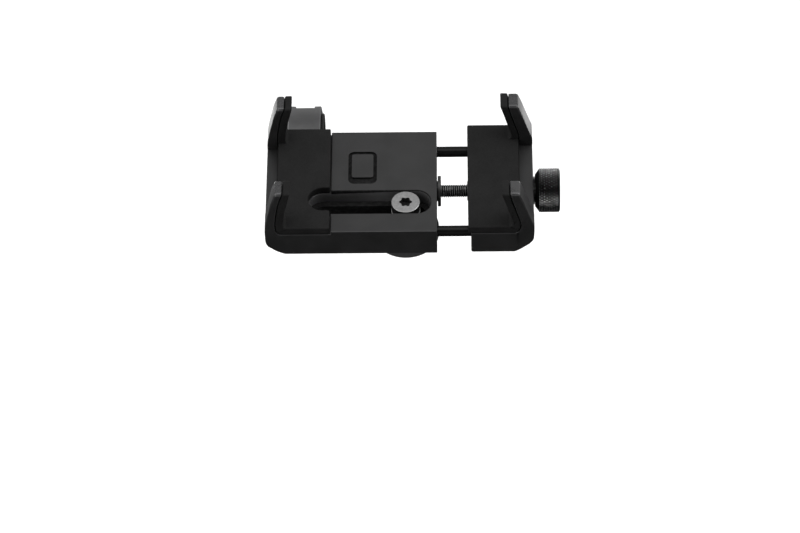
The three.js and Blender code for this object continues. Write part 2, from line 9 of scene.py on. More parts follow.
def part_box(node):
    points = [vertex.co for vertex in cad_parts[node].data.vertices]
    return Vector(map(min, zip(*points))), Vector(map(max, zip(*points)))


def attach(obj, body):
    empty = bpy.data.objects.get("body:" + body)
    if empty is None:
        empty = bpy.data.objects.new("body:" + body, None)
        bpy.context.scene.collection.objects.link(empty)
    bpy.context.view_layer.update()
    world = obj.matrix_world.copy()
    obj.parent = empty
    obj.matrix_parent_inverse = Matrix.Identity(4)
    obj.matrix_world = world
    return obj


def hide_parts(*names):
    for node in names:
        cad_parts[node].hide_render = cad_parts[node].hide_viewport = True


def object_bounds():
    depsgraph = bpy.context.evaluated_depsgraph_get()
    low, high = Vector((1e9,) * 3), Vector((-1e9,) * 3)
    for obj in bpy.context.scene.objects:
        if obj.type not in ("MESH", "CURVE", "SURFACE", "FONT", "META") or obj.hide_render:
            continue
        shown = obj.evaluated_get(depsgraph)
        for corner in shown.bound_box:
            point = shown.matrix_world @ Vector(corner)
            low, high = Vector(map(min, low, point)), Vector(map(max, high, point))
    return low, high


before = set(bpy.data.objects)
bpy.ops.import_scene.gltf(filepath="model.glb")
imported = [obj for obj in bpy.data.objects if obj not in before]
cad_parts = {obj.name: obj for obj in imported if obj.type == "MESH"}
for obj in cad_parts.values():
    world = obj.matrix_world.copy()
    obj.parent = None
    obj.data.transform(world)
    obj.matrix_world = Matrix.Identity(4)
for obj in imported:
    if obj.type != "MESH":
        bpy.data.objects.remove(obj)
CAD_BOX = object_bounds()

MM = 0.001
PLATE_LO, PLATE_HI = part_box("cradle_body")
BLOCK_X1 = 0.4
# the cradle's own frame, in mm: x = 0 just inside its right face, y = 0 rider side, z = 0 underside
PLATE = Vector((PLATE_HI.x / MM - BLOCK_X1, PLATE_LO.y / MM, PLATE_LO.z / MM))
BAR = Vector((0.0, 0.0, 0.0))

# ---- sizes, mm ------------------------------------------------------------------------------
FIT = 0.3
CLAMP_HALF_W = 6.15
CLAMP_R = 22.5
CLAMP_BORE_R = 17.9
SPLIT_HALF = 0.6
RECESS_R = 21.7
RECESS_HALF_W = 3.6
RECESS_START = 57.0
HINGE_Y = 23.0
KNUCKLE_R = 3.6
KNUCKLE_CLEAR_R = 4.0
PIN_R = 1.5
BOLT_Y = -26.5
EAR_T = 6.5
BOLT_R = 2.5
LINER_R = 17.6
LINER_BORE_R = 15.95
LIP_R = 19.8
LIP_T = 0.85
ARM_TOP = 21.3
ARM_T = 4.0
ARM_HALF_W = 7.0
BASE_R = 12.25
BASE_RISE = 0.5

CRADLE_W = 62.9
BLOCK_W = 38.9
BLOCK_TOP = 12.0
LEDGE_TOP = 10.6
CLAW_W = 7.5
CLAW_CORNER = 1.2
TAB_CORNER = 0.8
PAD_BOTTOM = 10.9
PAD_TOP = 14.0
SLOT_X0, SLOT_X1 = -47.2, -1.75
SLOT_Y = 14.8
SLOT_R = 5.7
SLOT_FLOOR = 6.2
THROUGH_R = 3.35
SCREW_X = -11.2
JAW_X0, JAW_X1 = 12.9, 36.1
JAW_BOTTOM = 0.4
AXIS_Z = 6.6
ROD_R = 2.0
ROD_Y = (5.0, 45.0)
ROD_X0, ROD_X1 = -37.0, 31.0
ROD_BORE_X0 = -51
LEAD_Y = 25.0
LEAD_X0, LEAD_X1 = -33.0, 44.3
LEAD_BORE_R = 2.9
LEAD_BORE_X0 = -47
THREAD_R, ROOT_R = 2.46, 2.06
PITCH = 0.8
RUN_OUT = 0.5
BUSH_BORE_R = 4.1
BUSH_BORE_X0 = -10.3
STEM_HOLE_R = 3.3
EDGE_ROUND = 0.65
CLAMP_ROUND = 0.35
KNOB_CONE_L, KNOB_GRIP_L = 1.3, 7.9
HEAD_H = 3.9
LOBE_R, LOBE_WAVE = 2.13, 0.27


# ---- mesh helpers ---------------------------------------------------------------------------
def catmull(points, count):
    """Points along a smooth line through the given ones."""
    made = []
    last = len(points) - 1
    for k in range(count + 1):
        p = last * k / count
        i = min(int(p), last - 1)
        t = p - i
        p0 = points[max(i - 1, 0)]
        p1 = points[i]
        p2 = points[i + 1]
        p3 = points[min(i + 2, last)]
        row = []
        for a, b, c, d in zip(p0, p1, p2, p3):
            v0 = (c - a) * 0.5
            v1 = (d - b) * 0.5
            cubic = 2 * b - 2 * c + v0 + v1
            square = -3 * b + 3 * c - 2 * v0 - v1
            row.append(cubic * t**3 + square * t**2 + v0 * t + b)
        made.append(tuple(row))
    return made


def arc(cx, cy, r, a0, a1, n):
    """n + 1 points on an arc, angles in degrees."""
    made = []
    for k in range(n + 1):
        a = math.radians(a0 + (a1 - a0) * k / n)
        made.append((cx + r * math.cos(a), cy + r * math.sin(a)))
    return made


def circle(cx, cy, r, n):
    return arc(cx, cy, r, 0, 360 - 360 / n, n - 1)


def bezier(p0, p1, p2, n):
    made = []
    for k in range(n + 1):
        t = k / n
        u = 1 - t
        made.append(tuple(u**2 * a + 2 * t * u * b + t * t * c for a, b, c in zip(p0, p1, p2)))
    return made


def place(axis, a, b, along):
    """A drawn point (a, b) at a distance along the axis."""
    if axis == "X":
        return (along, a, b)
    if axis == "Y":
        return (a, along, b)
    return (a, b, along)


def from_bmesh(bm, name="shape"):
    bmesh.ops.remove_doubles(bm, verts=bm.verts, dist=1e-5)
    bmesh.ops.recalc_face_normals(bm, faces=bm.faces)
    mesh = bpy.data.meshes.new(name)
    bm.to_mesh(mesh)
    bm.free()
    obj = bpy.data.objects.new(name, mesh)
    bpy.context.scene.collection.objects.link(obj)
    return obj


def prism(points, axis, lo, hi):
    bm = bmesh.new()
    low = [bm.verts.new(place(axis, a, b, lo)) for a, b in points]
    high = [bm.verts.new(place(axis, a, b, hi)) for a, b in points]
    bm.faces.new(low)
    bm.faces.new(list(reversed(high)))
    n = len(points)
    for k in range(n):
        bm.faces.new((low[k], high[k], high[(k + 1) % n], low[(k + 1) % n]))
    return from_bmesh(bm)


def ring_prism(outer, inner, axis, lo, hi):
    """The band between two outlines of as many points each."""
    bm = bmesh.new()
    rings = []
    for z in (lo, hi):
        for points in (outer, inner):
            rings.append([bm.verts.new(place(axis, a, b, z)) for a, b in points])
    n = len(outer)
    for i, j in ((0, 1), (1, 3), (3, 2), (2, 0)):
        a, b = rings[i], rings[j]
        for k in range(n):
            bm.faces.new((a[k], a[(k + 1) % n], b[(k + 1) % n], b[k]))
    return from_bmesh(bm)


def block(x0, x1, y0, y1, z0, z1):
    return prism([(x0, y0), (x1, y0), (x1, y1), (x0, y1)], "Z", z0, z1)


def rod(axis, r, lo, hi, a=0.0, b=0.0, n=64):
    return prism(circle(a, b, r, n), axis, lo, hi)


def lathe(profile, axis, a=0.0, b=0.0, n=96, closed=False):
    """Turns a (radius, along) line about the axis through (a, b).
    An open line starts and ends at radius 0."""
    bm = bmesh.new()
    turns = [2 * math.pi * k / n for k in range(n)]
    rows = []
    for r, along in profile:
        if r < 1e-6:
            rows.append([bm.verts.new(place(axis, a, b, along))])
        else:
            points = [(a + r * math.cos(t), b + r * math.sin(t)) for t in turns]
            rows.append([bm.verts.new(place(axis, u, v, along)) for u, v in points])
    pairs = list(zip(rows, rows[1:])) + ([(rows[-1], rows[0])] if closed else [])
    for low, high in pairs:
        for k in range(n):
            corners = (
                low[k % len(low)], low[(k + 1) % len(low)],
                high[(k + 1) % len(high)], high[k % len(high)],
            )
            unique = []
            for v in corners:
                if v not in unique:
                    unique.append(v)
            if len(unique) > 2:
                bm.faces.new(unique)
    return from_bmesh(bm)


def sweep_arc(profile, a0, a1, n):
    """Turns a closed (radius, x) outline about X from angle a0 to a1, with flat ends.
    The angles are in degrees from +Y up."""
    bm = bmesh.new()
    rows = []
    for k in range(n + 1):
        t = math.radians(a0 + (a1 - a0) * k / n)
        rows.append([bm.verts.new((x, r * math.cos(t), r * math.sin(t))) for r, x in profile])
    m = len(profile)
    for low, high in zip(rows, rows[1:]):
        for k in range(m):
            bm.faces.new((low[k], low[(k + 1) % m], high[(k + 1) % m], high[k]))
    bm.faces.new(rows[0])
    bm.faces.new(list(reversed(rows[-1])))
    return from_bmesh(bm)


def evaluated(obj):
    """Applies the object's modifiers to its mesh."""
    graph = bpy.context.evaluated_depsgraph_get()
    graph.update()
    mesh = bpy.data.meshes.new_from_object(obj.evaluated_get(graph))
    obj.modifiers.clear()
    old = obj.data
    obj.data = mesh
    bpy.data.meshes.remove(old)
    return obj


def combine(obj, tool, operation):
    mod = obj.modifiers.new("cut", "BOOLEAN")
    mod.solver = "MANIFOLD"
    mod.operation = operation
    mod.object = tool
    evaluated(obj)
    bpy.data.objects.remove(tool)
    return obj


def cut(obj, *tools):
    for tool in tools:
        combine(obj, tool, "DIFFERENCE")
    return obj


def join(obj, *tools):
    for tool in tools:
        combine(obj, tool, "UNION")
    return obj


def tidy(obj):
    """Merges stray vertices and flat neighbours that the cuts leave."""
    bm = bmesh.new()
    bm.from_mesh(obj.data)
    bmesh.ops.remove_doubles(bm, verts=bm.verts, dist=2e-4)
    bmesh.ops.dissolve_degenerate(bm, edges=bm.edges, dist=2e-4)
    bmesh.ops.dissolve_limit(
        bm, angle_limit=math.radians(0.3), verts=bm.verts, edges=bm.edges,
        use_dissolve_boundaries=False,
    )
    bm.to_mesh(obj.data)
    bm.free()
    return obj


def dress(obj, materials):
    """Gives the mesh its materials, unless it already has them."""
    if not any(obj.data.materials):
        obj.data.materials.clear()
        for material in materials:
            obj.data.materials.append(material)


def soften(obj, materials, edge, segments=3, angle=30.0, share=None):
    """Rounds the outside corners; with two or more materials the rounded edges take the second.
    share gives the part of the full rounding that an edge gets from its middle."""
    dress(obj, materials)
    tidy(obj)
    bm = bmesh.new()
    bm.from_mesh(obj.data)
    # triangles, because a long outline may fold over itself where its short edges are rounded
    wide = [face for face in bm.faces if len(face.verts) > 4]
    bmesh.ops.triangulate(bm, faces=wide, ngon_method="EAR_CLIP")
    weight = bm.edges.layers.float.new("bevel_weight_edge")
    for line in bm.edges:
        if line.is_manifold and line.calc_face_angle_signed(0.0) > math.radians(angle):
            middle = (line.verts[0].co + line.verts[1].co) / 2
            line[weight] = share(middle) if share else 1.0
    bm.to_mesh(obj.data)
    bm.free()
    mod = obj.modifiers.new("edges", "BEVEL")
    mod.limit_method = "WEIGHT"
    mod.width = edge
    mod.segments = segments
    mod.use_clamp_overlap = False
    mod.miter_outer = "MITER_ARC"
    if len(materials) > 1:
        mod.material = 1
    return evaluated(obj)


def paint(obj, index, test):
    """Gives a material to the faces whose middle passes the test."""
    for face in obj.data.polygons:
        if test(face.center):
            face.material_index = index


def finish_piece(
    obj, name, body, node, materials, at, edge=0.0, segments=3, angle=30.0, smooth=34.0
):
    """Rounds the edges, puts the piece in the row frame and ties it to its body and CAD node."""
    dress(obj, materials)
    if edge:
        soften(obj, materials, edge, segments, angle)
    matrix = Matrix.Translation(at * MM) @ Matrix.Diagonal((MM, MM, MM, 1.0))
    obj.data.transform(matrix)
    for face in obj.data.polygons:
        face.use_smooth = True
    obj.data.set_sharp_from_angle(angle=math.radians(smooth))
    mod = obj.modifiers.new("normals", "WEIGHTED_NORMAL")
    mod.keep_sharp = True
    mod.weight = 80
    evaluated(obj)
    obj.name = name
    obj.data.name = name
    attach(obj, body)
    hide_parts(node)
    return obj


# ---- material helpers -----------------------------------------------------------------------
class Nodes:
    """A short hand for building a node tree."""

    def __init__(self, name):
        self.material = bpy.data.materials.new(name)
        self.material.use_nodes = True
        self.tree = self.material.node_tree
        self.shader = self.tree.nodes["Principled BSDF"]

    def add(self, kind, **settings):
        node = self.tree.nodes.new(kind)
        for key, value in settings.items():
            setattr(node, key, value)
        return node

    def link(self, a, b):
        self.tree.links.new(a, b)

    def set(self, **values):
        for key, value in values.items():
            self.shader.inputs[key.replace("_", " ")].default_value = value

    def place(self):
        if not hasattr(self, "coords"):
            self.coords = self.add("ShaderNodeTexCoord").outputs["Object"]
        return self.coords

    def noise(self, per_mm, detail=2.0, roughness=0.5, stretch=None):
        """Noise with that many features to a millimetre."""
        vector = self.place()
        if stretch:
            mapping = self.add("ShaderNodeMapping")
            mapping.inputs["Scale"].default_value = stretch
            self.link(vector, mapping.inputs["Vector"])
            vector = mapping.outputs[0]
        node = self.add("ShaderNodeTexNoise")
        node.inputs["Scale"].default_value = per_mm / MM
        node.inputs["Detail"].default_value = detail
        node.inputs["Roughness"].default_value = roughness
        self.link(vector, node.inputs["Vector"])
        return node.outputs["Fac"]

    def map(self, value, in0, in1, out0, out1, smooth=False):
        node = self.add("ShaderNodeMapRange")
        if smooth:
            node.interpolation_type = "SMOOTHSTEP"
        numbers = {"From Min": in0, "From Max": in1, "To Min": out0, "To Max": out1}
        for name, number in numbers.items():
            node.inputs[name].default_value = number
        self.link(value, node.inputs["Value"])
        return node.outputs["Result"]

    def math(self, operation, a, b=None):
        node = self.add("ShaderNodeMath", operation=operation)
        for socket, value in zip(node.inputs, (a, b)):
            if value is None:
                continue
            if isinstance(value, (int, float)):
                socket.default_value = value
            else:
                self.link(value, socket)
        return node.outputs[0]

    def mix(self, factor, a, b):
        node = self.add("ShaderNodeMix", data_type="RGBA")
        for socket, value in ((node.inputs[0], factor), (node.inputs[6], a), (node.inputs[7], b)):
            if isinstance(value, (int, float, tuple)):
                socket.default_value = value
            else:
                self.link(value, socket)
        return node.outputs[2]

    def bump(self, height, distance_mm, strength=1.0, after=None):
        node = self.add("ShaderNodeBump")
        node.inputs["Strength"].default_value = strength
        node.inputs["Distance"].default_value = distance_mm * MM
        self.link(height, node.inputs["Height"])
        if after is not None:
            self.link(after, node.inputs["Normal"])
        return node.outputs[0]

    def radius(self, point, axis):
        """Distance in mm from the line through the point along the axis."""
        shift = self.add("ShaderNodeVectorMath", operation="SUBTRACT")
        shift.inputs[1].default_value = point
        self.link(self.place(), shift.inputs[0])
        keep = self.add("ShaderNodeVectorMath", operation="MULTIPLY")
        keep.inputs[1].default_value = tuple(0.0 if k == "XYZ".index(axis) else 1.0 for k in range(3))
        self.link(shift.outputs[0], keep.inputs[0])
        length = self.add("ShaderNodeVectorMath", operation="LENGTH")
        self.link(keep.outputs[0], length.inputs[0])
        return self.math("DIVIDE", length.outputs["Value"], MM)


def grey(value, tint=0.0):
    return (value, value, value * (1 + tint), 1.0)


def anodised(name, base, rough, worn_and_highlit=False):
    """Bead-blasted and anodised aluminium: fine even grain, faint cloudiness, a little dust."""
    n = Nodes(name)
    cloud = n.noise(0.09, 3.0, 0.55)
    grain = n.noise(3.2, 2.0, 0.6)
    fine = n.noise(7.5, 1.0, 0.5)
    dark, light = grey(base * 0.86, 0.02), grey(base * 1.16, 0.02)
    tone = n.mix(n.map(cloud, 0.35, 0.68, 0.0, 1.0, True), dark, light)
    speck = n.map(n.noise(1.7, 1.0, 0.5), 0.72, 0.8, 0.0, 0.16, True)
    tone = n.mix(speck, tone, grey(base * 3.0))
    n.link(tone, n.shader.inputs["Base Color"])
    wide_level = n.map(cloud, 0.3, 0.7, rough - 0.035, rough + 0.045)
    level = n.math("ADD", wide_level, n.map(grain, 0.3, 0.7, -0.03, 0.03))
    n.link(level, n.shader.inputs["Roughness"])
    coarse = n.bump(grain, 0.012, 0.55)
    n.link(n.bump(fine, 0.006, 0.5, coarse), n.shader.inputs["Normal"])
    # the flag makes it more metallic, for the lighter rounded edges (partly wear, partly painted
    # highlight) and the claw tips (painted highlight)
    n.set(Metallic=0.6 if worn_and_highlit else 0.35, IOR=1.5)
    n.shader.inputs["Specular IOR Level"].default_value = 0.5
    return n.material


def rubber(name, base):
    """Moulded black rubber: matt, slightly pebbled, with pale dust in the grain."""
    n = Nodes(name)
    cloud = n.noise(0.12, 3.0, 0.6)
    pebble = n.noise(2.1, 2.0, 0.55)
    share = n.map(cloud, 0.3, 0.7, 0.0, 1.0, True)
    tone = n.mix(share, grey(base * 0.82), grey(base * 1.2))
    dust = n.map(n.noise(1.2, 3.0, 0.7), 0.6, 0.78, 0.0, 0.16, True)
    tone = n.mix(dust, tone, grey(base * 3.0))
    n.link(tone, n.shader.inputs["Base Color"])
    n.link(n.map(pebble, 0.3, 0.7, 0.66, 0.82), n.shader.inputs["Roughness"])
    n.link(n.bump(pebble, 0.03, 0.5), n.shader.inputs["Normal"])
    n.set(Metallic=0.0, IOR=1.5)
    n.shader.inputs["Specular IOR Level"].default_value = 0.16
    return n.material


def turned_metal(name, base, rough, point, axis, rings_per_mm=5.0, metallic=1.0, gloss=0.5):
    """Metal turned or faced about a line: fine concentric tool marks and small scuffs."""
    n = Nodes(name)
    r = n.radius(point, axis)
    wobble = n.map(n.noise(0.6, 2.0, 0.5), 0.0, 1.0, -0.12, 0.12)
    turns = n.math("MULTIPLY", n.math("ADD", r, wobble), 2 * math.pi * rings_per_mm)
    wave = n.math("SINE", turns)
    scuff = n.noise(1.5, 4.0, 0.65)
    share = n.map(scuff, 0.35, 0.75, 0.0, 1.0, True)
    tone = n.mix(share, grey(base * 0.88), grey(base * 1.12))
    n.link(tone, n.shader.inputs["Base Color"])
    wide_level = n.map(scuff, 0.3, 0.7, rough - 0.05, rough + 0.08)
    level = n.math("ADD", wide_level, n.map(wave, -1.0, 1.0, -0.02, 0.02))
    n.link(level, n.shader.inputs["Roughness"])
    fine = n.bump(n.noise(6.0), 0.004, 0.35)
    n.link(n.bump(wave, 0.004, 0.35, fine), n.shader.inputs["Normal"])
    n.set(Metallic=metallic)
    n.shader.inputs["Specular IOR Level"].default_value = gloss
    return n.material


def knurl_metal(name, crest, valley, rough, point, r0, r1):
    """Black finish, brighter on the highest points: partly wear, partly a painted highlight on the
    crests.
    """
    n = Nodes(name)
    r = n.radius(point, "X")
    worn_and_highlit = n.map(r, r0, r1, 0.0, 1.0, True)
    patch = n.map(n.noise(0.8, 3.0, 0.6), 0.35, 0.7, 0.35, 1.0, True)
    tone = n.mix(n.math("MULTIPLY", worn_and_highlit, patch), grey(valley), grey(crest))
    n.link(tone, n.shader.inputs["Base Color"])
    level = n.map(n.noise(2.0, 2.0, 0.6), 0.3, 0.7, rough - 0.05, rough + 0.08)
    n.link(level, n.shader.inputs["Roughness"])
    n.link(n.bump(n.noise(6.0, 2.0, 0.5), 0.006, 0.4), n.shader.inputs["Normal"])
    n.set(Metallic=0.85)
    n.shader.inputs["Specular IOR Level"].default_value = 0.35
    return n.material


def matt_black(name, base):
    """Matt black: painted shade in recesses, and the black fill of the engraved mark; with a trace of
    settled dust.
    """
    n = Nodes(name)
    cloud = n.noise(0.8, 3.0, 0.6)
    share = n.map(cloud, 0.4, 0.7, 0.0, 1.0, True)
    n.link(n.mix(share, grey(base * 0.7), grey(base * 1.4)), n.shader.inputs["Base Color"])
    n.link(n.map(cloud, 0.3, 0.7, 0.7, 0.9), n.shader.inputs["Roughness"])
    n.link(n.bump(n.noise(4.0), 0.008, 0.5), n.shader.inputs["Normal"])
    n.shader.inputs["Specular IOR Level"].default_value = 0.03
    return n.material


def plate_point(x, y, z):
    """A point of the cradle's frame, in metres in the row frame."""
    return tuple((PLATE + Vector((x, y, z))) * MM)


SCREW_AXIS = plate_point(SCREW_X, SLOT_Y, 0)
LEAD_AXIS = plate_point(0, LEAD_Y, AXIS_Z)
BOLT_AXIS = (0.0, BOLT_Y * MM, 0.0)

m_cradle = anodised("cradle_anodised", 0.012, 0.47)
# rounded edges of the cradle and jaw: lighter, more metallic anodising, partly edge wear and partly a
# painted highlight along the edges
m_cradle_edge = anodised("cradle_anodised_edge", 0.035, 0.38, True)
# black fill of the engraved mark, and painted shade on the slot's ledge, through slot and rim line
m_black_fill_and_shade = matt_black("cradle_black_fill_and_painted_shade", 0.01)
# slot walls: the block's anodising painted lighter, painted light on the walls
m_slot_wall_painted_light = anodised("cradle_slot_wall_painted_light", 0.09, 0.42)
# claw tips: lighter, glossier anodising, a painted highlight on the tips
m_tip_painted_highlight = anodised("cradle_tip_painted_highlight", 0.05, 0.27, True)
m_clamp = anodised("clamp_anodised", 0.045, 0.44)
# rounded edges of the clamp: lighter anodising, partly edge wear and partly a painted highlight along
# the edges
m_clamp_edge = anodised("clamp_anodised_edge", 0.085, 0.38, True)
m_rubber = rubber("pad_rubber", 0.005)
m_liner = rubber("liner_rubber", 0.01)
m_screw = turned_metal("screw_steel", 0.27, 0.36, SCREW_AXIS, "Z")
# painted shade: near-black inside the screw's drive recess
m_recess_painted_shade = matt_black("screw_recess_painted_shade", 0.02)
m_bolt = turned_metal("bolt_black_steel", 0.035, 0.34, BOLT_AXIS, "Z", 4.0, 0.8)
m_bright = turned_metal("washer_steel", 0.4, 0.32, BOLT_AXIS, "Z")
m_pin = turned_metal("pin_steel", 0.4, 0.3, (0.0, HINGE_Y * MM, 0.0), "X")
m_rod = turned_metal("rod_black_steel", 0.003, 0.2, LEAD_AXIS, "X", 2.0, 0.0, 0.12)
# thread crests painted brighter than the roots: partly wear, partly painted highlight
m_thread = knurl_metal("thread_black_steel", 0.4, 0.01, 0.28, LEAD_AXIS, 2.28, 2.46)
m_bush = turned_metal("bush_black_steel", 0.03, 0.34, LEAD_AXIS, "X", 3.0, 0.7)
# knurl crests painted brighter than the valleys: partly wear, partly painted highlight
m_knurl = knurl_metal("knob_knurl", 0.3, 0.001, 0.2, LEAD_AXIS, 7.93, 8.19)
m_knob_face = turned_metal("knob_face", 0.001, 0.6, LEAD_AXIS, "X", 4.0, 0.0, 0.03)
m_nylon = rubber("washer_nylon", 0.006)


# ---- cradle profile -------------------------------------------------------------------------
# section of each end as (inward from its outer edge, height), and its claws
FIXED_END = {
    "edge": -CRADLE_W, "side": -1, "depth": 50.5, "top": 32.2,
    "foot": [(7.2, 0.0), (5.4, 0.8), (3.7, 1.8), (2.3, 3.0), (0.92, 4.1)],
    "outer": [
        (0.92, 4.1), (0.1, 6.3), (0, 9), (0, 13), (0.7, 17.9), (1.75, 22.8), (2.9, 27.8), (4.4, 32.2),
    ],
    "inner": [
        (7.1, 32.2), (5.6, 27.8), (4.6, 22.8), (3.9, 17.9), (3.75, 13.8), (4.3, 11.6), (5.6, 10.6),
    ],
    "tab": [(9.85, 32.2), (8.85, 27.8), (7.7, 22.8), (6.95, 17.9), (6.85, 15.3), (7.2, 14.3), (8, 14)],
    "pad_edge": 4.7, "pad_foot": 6.0,
}
JAW_END = {
    "edge": JAW_X1, "side": 1, "depth": 51.7, "top": 31.5,
    "foot": [(7.0, 0.4), (5.9, 1.1), (4.5, 2.1), (3.15, 3.3), (1.8, 4.4)],
    "outer": [
        (1.8, 4.4), (0.35, 6.6), (0, 9), (0, 14), (0.95, 17.1), (2.5, 22.1), (3.95, 27), (5.6, 31.5),
    ],
    "inner": [(9.1, 31.5), (8, 27), (6.6, 22.1), (5.2, 17.1), (4.8, 14.2), (5.4, 12), (6.8, 10.6)],
    "tab": [(12.1, 31.5), (10.8, 27), (9.5, 22.1), (8.1, 17.1), (7.9, 15.5), (8.4, 14.4), (9.3, 14)],
    "pad_edge": 5.6, "pad_foot": 7.3,
}
WALL_STEPS = 44
TIP_DEPTH = 0.7


def wall(points, end):
    return [(end["edge"] - end["side"] * inward, height) for inward, height in points]


def section(end, rest):
    """Base and wall outline of an end; rest closes it on the inner side."""
    return (
        wall(catmull(end["foot"], 14)[:-1], end)
        + wall(catmull(end["outer"], WALL_STEPS), end)
        + wall(catmull(end["inner"], WALL_STEPS), end)
        + rest
    )


def towers(depth, floor, top, corner, low=-2.0):
    """Two towers with rounded corners standing on a floor, in (y, z)."""
    back = depth - CLAW_W
    return (
        [(0.0, low), (depth, low)]
        + arc(depth - corner, top - corner, corner, 0, 90, 8)
        + arc(back + corner, top - corner, corner, 90, 180, 8)
        + [(back, floor), (CLAW_W, floor)]
        + arc(CLAW_W - corner, top - corner, corner, 0, 90, 8)
        + arc(corner, top - corner, corner, 90, 180, 8)
    )


def tip_share(middle):
    """Half the rounding low down, all of it at the claws' tips."""
    return 0.48 + 0.52 * min(max((middle.z - 22.0) / 7.0, 0.0), 1.0)


def keep_towers(obj, end, inside, floor, corner):
    lo, hi = sorted((end["edge"], inside))
    outline = towers(end["depth"], floor, end["top"], corner)
    return combine(obj, prism(outline, "X", lo - 2, hi + 2), "INTERSECT")


def obround(x0, x1, y, r, n=24):
    return arc(x1 - r, y, r, -90, 90, n) + arc(x0 + r, y, r, 90, 270, n)


def rounded_rect(x, y, w, h, r, n=8):
    return (
        arc(x + w / 2 - r, y - h / 2 + r, r, -90, 0, n)
        + arc(x + w / 2 - r, y + h / 2 - r, r, 0, 90, n)
        + arc(x - w / 2 + r, y + h / 2 - r, r, 90, 180, n)
        + arc(x - w / 2 + r, y - h / 2 + r, r, 180, 270, n)
    )


ICON_AT = (-27.2, 32.2)
ICON_W, ICON_H, ICON_CORNER = 10.6, 16.2, 2.2
ICON_LINE, ICON_DEPTH, ICON_CHIN = 1.3, 0.8, 1.9


def over_slot(c, half, beyond=0.0):
    """Whether a point lies over the slot, within half of its middle line."""
    return SLOT_X0 - beyond < c.x < SLOT_X1 + beyond and abs(c.y - SLOT_Y) < half


def on_slot_rim(c):
    """Whether a point is within a rounded edge's width of the slot's outline."""
    along = min(max(c.x, SLOT_X0 + SLOT_R), SLOT_X1 - SLOT_R)
    return abs(math.hypot(c.x - along, c.y - SLOT_Y) - SLOT_R) < 0.4


def make_cradle_body():
    middle = -BLOCK_W / 2
    depth = FIXED_END["depth"]
    body = prism(section(FIXED_END, [(middle, LEDGE_TOP), (middle, 0)]), "Y", 0, depth)
    keep_towers(body, FIXED_END, middle, LEDGE_TOP, CLAW_CORNER)
    join(body, block(-BLOCK_W, BLOCK_X1, 0, depth, 0, BLOCK_TOP))
    cut(body, prism(obround(SLOT_X0, SLOT_X1, SLOT_Y, SLOT_R), "Z", SLOT_FLOOR, 20))
    materials = [m_cradle, m_cradle_edge, m_black_fill_and_shade, m_slot_wall_painted_light, m_tip_painted_highlight]
    soften(body, materials, EDGE_ROUND, share=tip_share)
    gap = SLOT_R - THROUGH_R
    through = obround(SLOT_X0 + gap, SLOT_X1 - gap, SLOT_Y, THROUGH_R, 16)
    cut(body, prism(through, "Z", -1, SLOT_FLOOR + 1))
    for y in ROD_Y:
        cut(body, rod("X", ROD_R + FIT, ROD_BORE_X0, 2, y, AXIS_Z, 48))
    cut(body, rod("X", LEAD_BORE_R, LEAD_BORE_X0, 2, LEAD_Y, AXIS_Z, 48))
    cut(body, rod("X", BUSH_BORE_R, BUSH_BORE_X0, 2, LEAD_Y, AXIS_Z, 48))
    x, y = ICON_AT
    floor = BLOCK_TOP - ICON_DEPTH
    outer = rounded_rect(x, y, ICON_W, ICON_H, ICON_CORNER)
    inner = rounded_rect(
        x, y + ICON_CHIN / 2, ICON_W - 2 * ICON_LINE, ICON_H - 2 * ICON_LINE - ICON_CHIN,
        ICON_CORNER - ICON_LINE,
    )
    cut(body, ring_prism(outer, inner, "Z", floor, BLOCK_TOP + 1))
    black, wall_painted_light, tip = (materials.index(m) for m in (m_black_fill_and_shade, m_slot_wall_painted_light, m_tip_painted_highlight))
    wall_top = LEDGE_TOP - 0.2

    def in_outline(c):
        return abs(c.x - x) < ICON_W / 2 + 0.1 and floor - 0.1 < c.z < BLOCK_TOP - 0.05

    def on_slot_wall_painted_light(c):
        return over_slot(c, SLOT_R + 0.1, 0.2) and SLOT_FLOOR + 0.05 < c.z < wall_top

    paint(body, black, in_outline)
    # painted shade: the slot's ledge floor is painted black
    paint(body, black, lambda c: over_slot(c, SLOT_R) and abs(c.z - SLOT_FLOOR) < 0.02)
    # painted light: the slot's walls take the lighter wall material
    paint(body, wall_painted_light, on_slot_wall_painted_light)
    # painted shade: the through slot's walls are painted black
    paint(body, black, lambda c: over_slot(c, THROUGH_R + 0.1) and c.z < SLOT_FLOOR - 0.05)
    # painted shadow: a thin black band just under the slot's rim
    paint(body, black, lambda c: on_slot_rim(c) and BLOCK_TOP - 0.6 < c.z < BLOCK_TOP - 0.02)
    # painted highlight: the cradle's claw tips take the lighter tip material
    paint(body, tip, lambda c: c.z > FIXED_END["top"] - TIP_DEPTH)
    return finish_piece(
        body, "cradle_shell", "cradle", "cradle_body", materials, PLATE
    )


def make_jaw_body():
    heel = 0.8
    rest = [(JAW_X0, LEDGE_TOP), (JAW_X0, JAW_BOTTOM + heel)]
    rest += arc(JAW_X0 + heel, JAW_BOTTOM + heel, heel, 180, 270, 5)[1:]
    body = prism(section(JAW_END, rest), "Y", 0, JAW_END["depth"])
    keep_towers(body, JAW_END, JAW_X0, LEDGE_TOP, CLAW_CORNER)
    materials = [m_cradle, m_cradle_edge, m_tip_painted_highlight]
    soften(body, materials, EDGE_ROUND, share=tip_share)
    for y in ROD_Y:
        cut(body, rod("X", ROD_R + FIT, JAW_X0 - 1, 31.3, y, AXIS_Z, 48))
    cut(body, rod("X", LEAD_BORE_R, JAW_X0 - 1, JAW_X1 + 1, LEAD_Y, AXIS_Z, 48))
    # painted highlight: the jaw's claw tips take the lighter tip material
    paint(body, materials.index(m_tip_painted_highlight), lambda c: c.z > JAW_END["top"] - TIP_DEPTH)
    return finish_piece(body, "jaw_shell", "jaw", "jaw_body", materials, PLATE)


